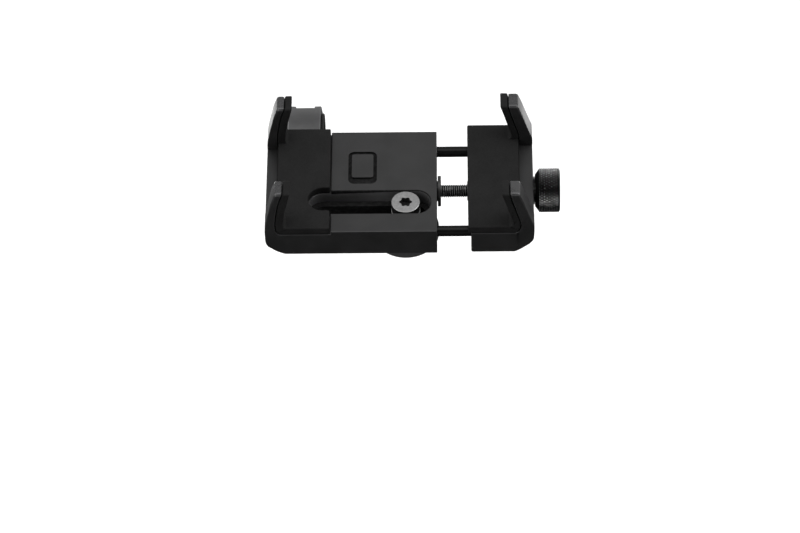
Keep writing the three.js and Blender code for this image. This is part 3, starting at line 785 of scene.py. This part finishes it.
def make_pad(name, body_name, node, end, inside, slotted):
    """Flat rubber slab with a tab up each claw."""
    back = [(inward + FIT, height) for inward, height in catmull(end["inner"], WALL_STEPS)]
    back = [(inward, height) for inward, height in back if height > PAD_BOTTOM + FIT]
    tab = wall(back, end) + wall([(end["pad_foot"], PAD_BOTTOM)], end)
    tab += [(inside, PAD_BOTTOM), (inside, PAD_TOP)]
    tab += list(reversed(wall(catmull(end["tab"], WALL_STEPS), end)))
    pad = prism(tab, "Y", 0, end["depth"])
    keep_towers(pad, end, inside, PAD_TOP, TAB_CORNER)
    lo, hi = sorted((end["edge"] - end["side"] * end["pad_edge"], inside))
    join(pad, block(lo, hi, CLAW_W, end["depth"] - CLAW_W, PAD_BOTTOM, PAD_TOP))
    # a rib behind each tab, which nearly touches the claw
    gap, rib_t = 0.05, 1.2
    lowest, highest = PAD_BOTTOM + 0.6, end["top"] - 1.2
    rib = [(inward + gap, height) for inward, height in catmull(end["inner"], WALL_STEPS)]
    rib = [(inward, height) for inward, height in rib if lowest < height < highest]
    rib += [(rib[-1][0] + rib_t, rib[-1][1]), (rib[0][0] + rib_t, rib[0][1])]
    for y in (1.0, end["depth"] - CLAW_W + 1.0):
        join(pad, prism(wall(rib, end), "Y", y, y + CLAW_W - 2.0))
    if slotted:
        cut(pad, prism(obround(SLOT_X0, SLOT_X1, SLOT_Y, SLOT_R), "Z", 5, 20))
    return finish_piece(pad, name, body_name, node, [m_rubber], PLATE, 0.42, 3, 32)


# ---- turned and threaded pieces -------------------------------------------------------------
def thread(x0, x1, major, minor, pitch, y, z, n=36):
    """A right-hand thread along X, one face strip to each flank, root and crest."""
    breaks = ((0.0, minor), (0.12, minor), (0.44, major), (0.56, major), (0.88, minor))
    turns = int(math.ceil((x1 - x0) / pitch)) + 2
    per = len(breaks)
    bm = bmesh.new()
    columns = []
    for k in range(n):
        a = 2 * math.pi * k / n
        column = []
        for j in range(turns * per + 1):
            share, r = breaks[j % per]
            x = x0 - pitch + pitch * (j // per + share + k / n)
            taper = min(max(min(x - x0, x1 - x) / RUN_OUT, 0.0), 1.0)
            r = min(r, minor + (major - minor) * taper)
            x = min(max(x, x0), x1)
            column.append(bm.verts.new((x, y + r * math.cos(a), z + r * math.sin(a))))
        columns.append(column)
    for k in range(n):
        nxt = columns[(k + 1) % n]
        shift = 0 if k + 1 < n else per
        for j in range(turns * per):
            if j + 1 + shift < len(nxt):
                corners = (columns[k][j], columns[k][j + 1], nxt[j + 1 + shift], nxt[j + shift])
                if max(v.co.x for v in corners) - min(v.co.x for v in corners) > 1e-6:
                    bm.faces.new(corners)
    bmesh.ops.remove_doubles(bm, verts=bm.verts, dist=1e-4)
    bmesh.ops.delete(bm, geom=[v for v in bm.verts if not v.link_faces], context="VERTS")
    bmesh.ops.holes_fill(bm, edges=[e for e in bm.edges if e.is_boundary], sides=0)
    return from_bmesh(bm)


def make_lead_screw():
    screw = thread(LEAD_X0, 30.0, THREAD_R, ROOT_R, PITCH, LEAD_Y, AXIS_Z)
    shank = lathe(
        [
            (0, 29.5), (2.4, 29.5), (THREAD_R, 30.2), (THREAD_R, LEAD_X1 - 0.3),
            (2.2, LEAD_X1), (0, LEAD_X1),
        ],
        "X", LEAD_Y, AXIS_Z, 48,
    )
    bm = bmesh.new()
    bm.from_mesh(screw.data)
    bm.from_mesh(shank.data)
    bm.to_mesh(screw.data)
    bm.free()
    bpy.data.objects.remove(shank)
    return finish_piece(
        screw, "lead_thread", "spindle", "lead_screw", [m_thread], PLATE, smooth=25
    )


# knurl: two crossing sets of diagonal grooves, which leave flat-topped diamonds
KNURL_AROUND, KNURL_ROWS = 48, 4
KNURL_GRID = 12
KNURL_LOW, KNURL_HIGH = 7.74, 8.19


def knurl_faces(bm, x0, x1):
    """Diamonds between x0 and x1, each with four flat flanks and a small flat top.
    Returns the two end rings."""
    half, crest = KNURL_GRID // 2, 1
    around, length = KNURL_AROUND * KNURL_GRID, KNURL_ROWS * KNURL_GRID
    corners = {}

    def corner(i, j, r):
        key = (i % around, j)
        if key not in corners:
            a = 2 * math.pi * key[0] / around
            x = x0 + (x1 - x0) * j / length
            corners[key] = bm.verts.new((x, LEAD_Y + r * math.cos(a), AXIS_Z + r * math.sin(a)))
        return corners[key]

    for row in range(2 * KNURL_ROWS + 1):
        j = row * half
        for k in range(KNURL_AROUND):
            i = k * KNURL_GRID + (half if row % 2 else 0)
            outer = [(half, 0), (0, half), (-half, 0), (0, -half)]
            inner = [(crest, 0), (0, crest), (-crest, 0), (0, -crest)]
            if row == 0:
                outer, inner = outer[:3], inner[:3]
            if row == 2 * KNURL_ROWS:
                outer, inner = [outer[2], outer[3], outer[0]], [inner[2], inner[3], inner[0]]
            low = [corner(i + di, j + dj, KNURL_LOW) for di, dj in outer]
            high = [corner(i + di, j + dj, KNURL_HIGH) for di, dj in inner]
            closed = len(outer) == 4
            for n in range(4 if closed else 2):
                m = (n + 1) % len(outer)
                bm.faces.new((low[n], low[m], high[m], high[n]))
            bm.faces.new(high)
    ends = []
    for j in (0, length):
        keys = sorted(key for key in corners if key[1] == j)
        ends.append([corners[key] for key in keys])
    return ends


def make_knob():
    x0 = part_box("knurled_knob")[0].x / MM - PLATE.x
    x1 = x0 + KNOB_CONE_L
    x2 = x1 + KNOB_GRIP_L
    bm = bmesh.new()
    first, last = knurl_faces(bm, x1 + 0.2, x2 - 0.4)

    def ring_like(ring, radius, x):
        made = []
        for vert in ring:
            a = math.atan2(vert.co.z - AXIS_Z, vert.co.y - LEAD_Y)
            made.append(bm.verts.new((x, LEAD_Y + radius * math.cos(a), AXIS_Z + radius * math.sin(a))))
        return made

    def skin(profile, ring):
        for r, x in profile:
            nxt = ring_like(ring, r, x)
            for k in range(len(ring)):
                m = (k + 1) % len(ring)
                bm.faces.new((ring[k], ring[m], nxt[m], nxt[k])).material_index = 1
            ring = nxt
        return ring

    cone = [(7.7, x1 + 0.04), (7.55, x1 - 0.1), (6.1, x0 + 0.12), (5.95, x0)]
    bore = skin(cone + [(2.8, x0), (2.8, LEAD_X1 + 0.3)], first)
    bm.faces.new(bore).material_index = 1
    rim = [(7.75, x2 - 0.22), (7.5, x2), (4.6, x2)]
    face = skin(rim + [(4.45, x2 - 0.18), (1.2, x2 - 0.18), (0.9, x2 - 0.55)], last)
    bm.faces.new(face).material_index = 1
    obj = from_bmesh(bm)
    for material in (m_knurl, m_knob_face):
        obj.data.materials.append(material)
    cut(obj, rod("Z", 1.8, AXIS_Z - 9, AXIS_Z - 4, (x1 + x2) / 2, LEAD_Y, 32))
    return finish_piece(
        obj, "knob_wheel", "spindle", "knurled_knob", [m_knurl, m_knob_face],
        PLATE, smooth=22,
    )


def hexagon(cx, cy, r):
    return circle(cx, cy, r, 6)


def make_grub():
    lo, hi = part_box("knob_grub_screw")
    x = (lo.x + hi.x) / 2 / MM - PLATE.x
    z0, z1 = lo.z / MM - PLATE.z, hi.z / MM - PLATE.z
    grub = lathe(
        [(0, z0), (1.3, z0), (1.48, z0 + 0.2), (1.48, z1 - 0.2), (1.3, z1), (0, z1)],
        "Z", x, LEAD_Y, 48,
    )
    cut(grub, prism(hexagon(x, LEAD_Y, 0.85), "Z", z0 - 1, z0 + 1.4))
    return finish_piece(
        grub, "knob_grub", "spindle", "knob_grub_screw", [m_bolt], PLATE
    )


def make_slot_screw():
    top = BLOCK_TOP
    under = top - HEAD_H
    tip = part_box("slot_screw")[0].z / MM - PLATE.z
    screw = lathe(
        [
            (0, tip), (2.6, tip), (2.95, tip + 0.4), (2.95, under), (4.95, under),
            (5.2, under + 0.25), (5.25, under + 0.35), (5.25, top - 0.24), (5.21, top - 0.1),
            (5.11, top - 0.02), (5.0, top), (0, top),
        ],
        "Z", SCREW_X, SLOT_Y, 128,
    )
    lobes = []
    steps = 72
    for k in range(steps):
        a = 2 * math.pi * k / steps
        r = LOBE_R + LOBE_WAVE * math.cos(6 * a)
        lobes.append((SCREW_X + r * math.cos(a), SLOT_Y + r * math.sin(a)))
    cut(screw, prism(lobes, "Z", top - 2.4, top + 1))
    pit = [(0, top - 3.1), (1.5, top - 2.2), (1.5, top), (0, top)]
    cut(screw, lathe(pit, "Z", SCREW_X, SLOT_Y, 48))
    materials = [m_screw, m_recess_painted_shade, m_bolt]
    dress(screw, materials)

    def from_axis(c):
        return math.hypot(c.x - SCREW_X, c.y - SLOT_Y)

    def in_recess(c):
        return from_axis(c) < 2.45 and top - 4.0 < c.z < top - 0.2

    def on_side_painted_shade(c):
        return under - 0.1 < c.z < top - 0.24 and from_axis(c) > 4.9

    # painted shade: the drive recess is painted near-black
    paint(screw, materials.index(m_recess_painted_shade), in_recess)
    # painted shade: the head's side, down in the slot, takes the dark bolt steel
    paint(screw, materials.index(m_bolt), on_side_painted_shade)
    return finish_piece(
        screw, "slot_screw_head", "bracket", "slot_screw", materials, PLATE
    )


def make_ring(
    name, body_name, node, material, r_out, r_in, lo, hi, axis, a, b, at, soft=0.15
):
    """Flat washer with its outside edges eased."""
    near = soft * 0.3
    obj = lathe(
        [
            (r_in, lo), (r_out - soft, lo), (r_out - near, lo + near), (r_out, lo + soft),
            (r_out, hi - soft), (r_out - near, hi - near), (r_out - soft, hi), (r_in, hi),
        ],
        axis, a, b, 96, True,
    )
    return finish_piece(obj, name, body_name, node, [material], at)


def make_bush():
    obj = lathe(
        [
            (2.55, -10.0), (3.6, -10.0), (3.8, -9.8), (3.8, 0.7), (5.5, 0.7), (5.7, 0.9),
            (5.7, 1.65), (5.55, 1.85), (5.4, 1.9), (3.3, 1.9), (2.7, 1.35), (2.55, 1.3),
        ],
        "X", LEAD_Y, AXIS_Z, 96, True,
    )
    return finish_piece(obj, "bush_flange", "cradle", "thread_bush", [m_bush], PLATE)


def make_clip():
    """Snap ring: open at the bottom."""
    x0 = JAW_X0 - FIT - 1.0
    x1 = JAW_X0 - FIT
    obj = lathe(
        [(2.6, x0), (3.5, x0), (3.6, x0 + 0.1), (3.6, x1 - 0.1), (3.5, x1), (2.6, x1)],
        "X", LEAD_Y, AXIS_Z, 96, True,
    )
    half_gap = 1.1
    cut(obj, block(x0 - 1, x1 + 1, LEAD_Y - half_gap, LEAD_Y + half_gap, AXIS_Z - 5, AXIS_Z))
    return finish_piece(
        obj, "screw_clip", "spindle", "retaining_clip", [m_bush], PLATE, 0.08, 2
    )


def make_rod(name, node, y):
    obj = lathe(
        [
            (0, ROD_X0), (1.6, ROD_X0), (1.9, ROD_X0 + 0.2), (ROD_R, ROD_X0 + 0.5),
            (ROD_R, ROD_X1 - 0.4), (1.8, ROD_X1), (0, ROD_X1),
        ],
        "X", y, AXIS_Z, 96,
    )
    return finish_piece(obj, name, "jaw", node, [m_rod], PLATE)


# ---- clamp ----------------------------------------------------------------------------------
def clamp_blank(side):
    """Half ring, ear and hinge shoulder on one side of the split, solid, before boring."""
    w = CLAMP_HALF_W
    tilt = math.degrees(math.acos((CLAMP_R - KNUCKLE_R) / HINGE_Y))
    split = math.degrees(math.asin(SPLIT_HALF / CLAMP_R))
    # one outline in (y, z): round the ring, over the hinge, closed along the split
    outline = arc(0, 0, CLAMP_R, 180 - split, tilt, 72)
    eye_end = math.degrees(math.asin(SPLIT_HALF / KNUCKLE_R))
    outline += arc(HINGE_Y, 0, KNUCKLE_R, tilt, eye_end, 12)
    if side < 0:
        outline = [(a, -b) for a, b in outline]
    body = prism(outline, "X", -w, w)
    ear = arc(0, BOLT_Y, w, 180, 360, 32) + [(w, -15.0), (-w, -15.0)]
    low, high = sorted((side * SPLIT_HALF, side * (SPLIT_HALF + EAR_T)))
    join(body, prism(ear, "Z", low, high))
    return body


def make_bracket():
    w = CLAMP_HALF_W
    top = ARM_TOP
    bottom = top - ARM_T
    base_x, base_y = (PLATE + Vector((SCREW_X, SLOT_Y, 0))).xy
    body = clamp_blank(1)
    web = [(0.0, top), (-30.0, top), (-30.0, bottom)]
    web += bezier((-30.0, bottom), (-21.0, bottom), (-19.6, 8.6), 20)[1:]
    web += [(-10.0, 10.0)]
    join(body, prism(web, "X", -w, w))
    arm = bezier((-w, -8.0), (-w, base_y - ARM_HALF_W), (base_x - 2, base_y - ARM_HALF_W), 48)
    arm += bezier((base_x - 2, base_y + ARM_HALF_W), (w, base_y + ARM_HALF_W), (w, -8.0), 48)
    join(body, prism(arm, "Z", bottom, top))
    join(body, rod("Z", BASE_R, bottom, top + BASE_RISE, base_x, base_y, 128))
    # recess in the middle of the band
    start = math.radians(RECESS_START)
    far = 2 * CLAMP_R
    sector = arc(0, 0, RECESS_R, RECESS_START, 0, 40)
    sector += [(far, 0.0), (far, far * math.tan(start))]
    cut(body, prism(sector, "X", -RECESS_HALF_W, RECESS_HALF_W))
    body = soften(body, [m_clamp, m_clamp_edge], CLAMP_ROUND)
    cut(body, rod("X", CLAMP_BORE_R, -w - 1, w + 1, 0, 0, 160))
    cut(body, rod("Z", STEM_HOLE_R, 5, top + 5, base_x, base_y, 64))
    cut(body, rod("Z", STEM_HOLE_R, 0, SPLIT_HALF + EAR_T + 1, 0, BOLT_Y, 64))
    cut(body, rod("X", KNUCKLE_CLEAR_R, -RECESS_HALF_W, RECESS_HALF_W, HINGE_Y, 0, 64))
    for x0 in (-w, RECESS_HALF_W):
        join(body, knuckle(x0, x0 + w - RECESS_HALF_W))
    cut(body, rod("X", PIN_R + FIT, -w - 1, w + 1, HINGE_Y, 0, 40))
    return finish_piece(
        body, "bracket_shell", "bracket", "clamp_bracket",
        [m_clamp, m_clamp_edge], BAR,
    )


def knuckle(x0, x1, soft=0.25):
    """Round hinge eye with eased rims."""
    return lathe(
        [
            (0, x0), (KNUCKLE_R - soft, x0), (KNUCKLE_R, x0 + soft),
            (KNUCKLE_R, x1 - soft), (KNUCKLE_R - soft, x1), (0, x1),
        ],
        "X", HINGE_Y, 0, 64,
    )


def make_gate():
    w = CLAMP_HALF_W
    tongue = RECESS_HALF_W - FIT
    body = soften(clamp_blank(-1), [m_clamp, m_clamp_edge], CLAMP_ROUND)
    cut(body, rod("X", CLAMP_BORE_R, -w - 1, w + 1, 0, 0, 160))
    for x0 in (-w - 1, tongue):
        cut(body, rod("X", KNUCKLE_CLEAR_R, x0, x0 + w + 1 - tongue, HINGE_Y, 0, 64))
    join(body, knuckle(-tongue, tongue))
    cut(body, rod("X", PIN_R + FIT, -w - 1, w + 1, HINGE_Y, 0, 40))
    cut(body, rod("Z", BOLT_R + FIT, -SPLIT_HALF - EAR_T - 1, 0, 0, BOLT_Y, 48))
    return finish_piece(
        body, "gate_shell", "gate", "clamp_gate", [m_clamp, m_clamp_edge], BAR
    )


def make_liner(name, body_name, node, side):
    outer = CLAMP_HALF_W + FIT + LIP_T
    inner = CLAMP_HALF_W + FIT
    profile = [
        (LINER_BORE_R + 0.25, -outer), (LIP_R - 0.3, -outer), (LIP_R, -outer + 0.25),
        (LIP_R, -inner), (LINER_R, -inner), (LINER_R, inner), (LIP_R, inner),
        (LIP_R, outer - 0.25), (LIP_R - 0.3, outer),
        (LINER_BORE_R + 0.25, outer), (LINER_BORE_R, outer - 0.25),
    ]
    # shallow grip grooves round the bore
    for k in range(6):
        x = 5.0 - 2.0 * k
        profile += [(LINER_BORE_R, x + 0.45), (LINER_BORE_R + 0.3, x + 0.25)]
        profile += [(LINER_BORE_R + 0.3, x - 0.25), (LINER_BORE_R, x - 0.45)]
    profile += [(LINER_BORE_R, -outer + 0.25)]
    trim = math.degrees(math.asin(SPLIT_HALF / LINER_R))
    a0, a1 = (trim, 180 - trim) if side > 0 else (180 + trim, 360 - trim)
    obj = sweep_arc(profile, a0, a1, 96)
    return finish_piece(obj, name, body_name, node, [m_liner], BAR)


def make_pin():
    half = CLAMP_HALF_W - 0.15
    obj = lathe(
        [
            (0, -half), (1.3, -half), (PIN_R, -half + 0.2),
            (PIN_R, half - 0.2), (1.3, half), (0, half),
        ],
        "X", HINGE_Y, 0, 64,
    )
    return finish_piece(obj, "hinge_pin_steel", "bracket", "hinge_pin", [m_pin], BAR)


def make_bolt():
    head_top = -SPLIT_HALF - EAR_T - 2 * FIT - 1.0
    head_bottom = head_top - 5.0
    tip = SPLIT_HALF + EAR_T - 0.4
    ribs = 40
    n = ribs * 4
    bm = bmesh.new()

    def ring_at(radius, z, rib=0.0):
        made = []
        for k in range(n):
            r = radius - rib * (0.5 - 0.5 * math.cos(2 * math.pi * k / 4))
            a = 2 * math.pi * k / n
            made.append(bm.verts.new((r * math.cos(a), BOLT_Y + r * math.sin(a), z)))
        return made

    rings = [
        ring_at(3.7, head_bottom), ring_at(4.05, head_bottom + 0.15),
        ring_at(4.2, head_bottom + 0.5), ring_at(4.25, head_bottom + 0.9, 0.16),
        ring_at(4.25, head_top - 0.7, 0.16), ring_at(4.2, head_top - 0.35),
        ring_at(4.05, head_top), ring_at(2.5, head_top), ring_at(2.45, head_top + 2.0),
    ]
    z = head_top + 2.0
    while z < tip - 0.8:
        for share, r in ((0.1, 2.1), (0.3, 2.1), (0.5, 2.45), (0.7, 2.45)):
            rings.append(ring_at(r, z + share * PITCH))
        z += PITCH
    rings += [ring_at(2.45, tip - 0.4), ring_at(2.1, tip)]
    for low, high in zip(rings, rings[1:]):
        for k in range(n):
            bm.faces.new((low[k], low[(k + 1) % n], high[(k + 1) % n], high[k]))
    bm.faces.new(rings[0])
    bm.faces.new(rings[-1])
    obj = from_bmesh(bm)
    cut(obj, prism(hexagon(0, BOLT_Y, 2.3), "Z", head_bottom - 1, head_bottom + 2.6))
    return finish_piece(
        obj, "clamp_bolt_black", "gate", "clamp_bolt", [m_bolt], BAR, smooth=28
    )


make_cradle_body()
make_jaw_body()
make_pad("cradle_rubber", "cradle", "cradle_pad", FIXED_END, -BLOCK_W - FIT, True)
make_pad("jaw_rubber", "jaw", "jaw_pad", JAW_END, JAW_X0 - 1.1, False)
make_lead_screw()
make_knob()
make_grub()
make_slot_screw()
make_bush()
make_clip()
make_rod("rod_front", "guide_rod_front", ROD_Y[0])
make_rod("rod_rear", "guide_rod_rear", ROD_Y[1])
make_ring(
    "slot_washer_steel", "swivel", "slot_washer", m_screw, 5.4, STEM_HOLE_R,
    SLOT_FLOOR + FIT, SLOT_FLOOR + FIT + 1.3, "Z", SCREW_X, SLOT_Y, PLATE,
)
make_ring(
    "friction_ring", "swivel", "friction_disc", m_nylon, BASE_R - 0.25, STEM_HOLE_R,
    -0.85, -0.25, "Z", SCREW_X, SLOT_Y, PLATE, 0.12,
)
make_ring(
    "thrust_ring", "spindle", "thrust_washer", m_nylon, 5.2, BOLT_R + FIT,
    JAW_X1 + 0.15, JAW_X1 + 0.55, "X", LEAD_Y, AXIS_Z, PLATE, 0.1,
)
make_bracket()
make_gate()
make_liner("liner_rubber_upper", "bracket", "liner_upper", 1)
make_liner("liner_rubber_lower", "gate", "liner_lower", -1)
make_pin()
make_bolt()
make_ring(
    "bolt_washer_steel", "gate", "clamp_bolt_washer", m_bright, 5.0, BOLT_R + FIT,
    -SPLIT_HALF - EAR_T - FIT - 1.0, -SPLIT_HALF - EAR_T - FIT, "Z", 0.0, BOLT_Y, BAR, 0.12,
)


# ---- camera ---------------------------------------------------------------------------------
def add_camera():
    azimuth, elevation, roll = (math.radians(a) for a in (1.119, 48.37, -1.302))
    focal_px, width_px = 4089.0, 800.0
    sensor_mm = 36.0
    distance = 1.5187
    aim = Vector(plate_point(-10, 25, 8.6))
    shift_right, shift_up = (px / focal_px * distance for px in (8.953, 78.786))
    back = Vector((
        math.sin(azimuth) * math.cos(elevation),
        -math.cos(azimuth) * math.cos(elevation),
        math.sin(elevation),
    ))
    level = Vector((math.cos(azimuth), math.sin(azimuth), 0.0))
    up = back.cross(level)
    right = level * math.cos(roll) + up * math.sin(roll)
    above = up * math.cos(roll) - level * math.sin(roll)
    data = bpy.data.cameras.new("camera")
    data.sensor_width = sensor_mm
    data.lens = focal_px / width_px * sensor_mm
    data.clip_start, data.clip_end = 0.05, 20.0
    camera = bpy.data.objects.new("camera", data)
    bpy.context.scene.collection.objects.link(camera)
    turn = Matrix((right, above, back)).transposed().to_4x4()
    place_at = aim + back * distance - right * shift_right - above * shift_up
    camera.matrix_world = Matrix.Translation(place_at) @ turn
    bpy.context.scene.camera = camera


# ---- floor and light ------------------------------------------------------------------------
FLOOR_DROP = 0.12
FLOOR_HALF = 6.0


def add_floor():
    """Pale paper below the mount, which hangs above it as it would on a bar."""
    bm = bmesh.new()
    bmesh.ops.create_grid(bm, x_segments=2, y_segments=2, size=FLOOR_HALF)
    floor = from_bmesh(bm, "floor")
    floor.location = (0, 0, CAD_BOX[0].z - FLOOR_DROP)
    n = Nodes("floor_paper")
    cloud = n.noise(0.002, 2.0, 0.5)
    n.link(n.mix(cloud, grey(0.86), grey(0.9)), n.shader.inputs["Base Color"])
    n.set(Roughness=0.95)
    n.shader.inputs["Specular IOR Level"].default_value = 0.1
    floor.data.materials.append(n.material)
    floor.visible_glossy = False


def add_area(name, at, target, size_x, size_y, power):
    data = bpy.data.lights.new(name, "AREA")
    data.shape = "RECTANGLE"
    data.size, data.size_y = size_x, size_y
    data.energy = power
    lamp = bpy.data.objects.new(name, data)
    lamp.location = at
    lamp.rotation_mode = "QUATERNION"
    lamp.rotation_quaternion = (Vector(target) - Vector(at)).to_track_quat("-Z", "Y")
    bpy.context.scene.collection.objects.link(lamp)
    return lamp


# Brightness of the studio by the direction's angle, seen from the side: 0 the rider's horizon,
# 90 straight up, 180 the far horizon, -90 straight down.
STUDIO = (
    (-180, 0.75), (-140, 0.26), (-115, 0.12), (-90, 0.05), (-20, 0.04), (-8, 0.55), (16, 0.5),
    (30, 0.22), (66, 0.3), (80, 2.35), (112, 2.4), (126, 0.75), (150, 0.6), (180, 0.9),
)
STUDIO_PEAK = 4.0
# small panels near the rear claws: name, place, the claw's x aimed at, power
PANELS = (
    ("left_panel", (-0.039, 0.03, 0.0), -0.011, 0.014),
    ("right_panel", (0.115, 0.03, 0.003), 0.083, 0.0125),
)
PANEL_SIZE = 0.036


def add_light():
    world = bpy.data.worlds.new("studio")
    bpy.context.scene.world = world
    world.use_nodes = True
    tree = world.node_tree
    tree.nodes.clear()
    out = tree.nodes.new("ShaderNodeOutputWorld")
    background = tree.nodes.new("ShaderNodeBackground")
    coords = tree.nodes.new("ShaderNodeTexCoord")
    split = tree.nodes.new("ShaderNodeSeparateXYZ")
    back = tree.nodes.new("ShaderNodeMath")
    back.operation = "MULTIPLY"
    back.inputs[1].default_value = -1.0
    angle = tree.nodes.new("ShaderNodeMath")
    angle.operation = "ARCTAN2"
    turn = tree.nodes.new("ShaderNodeMapRange")
    turn.inputs["From Min"].default_value = -math.pi
    turn.inputs["From Max"].default_value = math.pi
    ramp = tree.nodes.new("ShaderNodeValToRGB")
    ramp.color_ramp.interpolation = "EASE"
    stops = ramp.color_ramp.elements
    while len(stops) < len(STUDIO):
        stops.new(0.5)
    for stop, (degrees, level) in zip(stops, STUDIO):
        stop.position = (degrees + 180) / 360
        share = level / STUDIO_PEAK
        stop.color = (share, share, share, 1.0)
    tree.links.new(coords.outputs["Generated"], split.inputs[0])
    tree.links.new(split.outputs["Y"], back.inputs[0])
    tree.links.new(split.outputs["Z"], angle.inputs[0])
    tree.links.new(back.outputs[0], angle.inputs[1])
    tree.links.new(angle.outputs[0], turn.inputs["Value"])
    tree.links.new(turn.outputs["Result"], ramp.inputs["Fac"])
    tree.links.new(ramp.outputs["Color"], background.inputs["Color"])
    background.inputs["Strength"].default_value = STUDIO_PEAK
    tree.links.new(background.outputs[0], out.inputs["Surface"])
    centre = tuple((CAD_BOX[0] + CAD_BOX[1]) / 2)
    add_area("left_box", (-0.62, -0.6, 0.46), centre, 0.25, 0.7, 3)
    add_area("right_box", (0.8, -0.04, 0.74), centre, 1.0, 0.22, 4)
    # low down and behind, they put the bright reflection on the rear claws' outer faces
    for name, at, claw_x, power in PANELS:
        panel = add_area(name, at, (claw_x, -0.019, 0.048), PANEL_SIZE, PANEL_SIZE, power)
        panel.visible_camera = False
    scene = bpy.context.scene
    scene.view_settings.view_transform = "Standard"
    scene.view_settings.look = "None"


add_camera()
add_floor()
add_light()
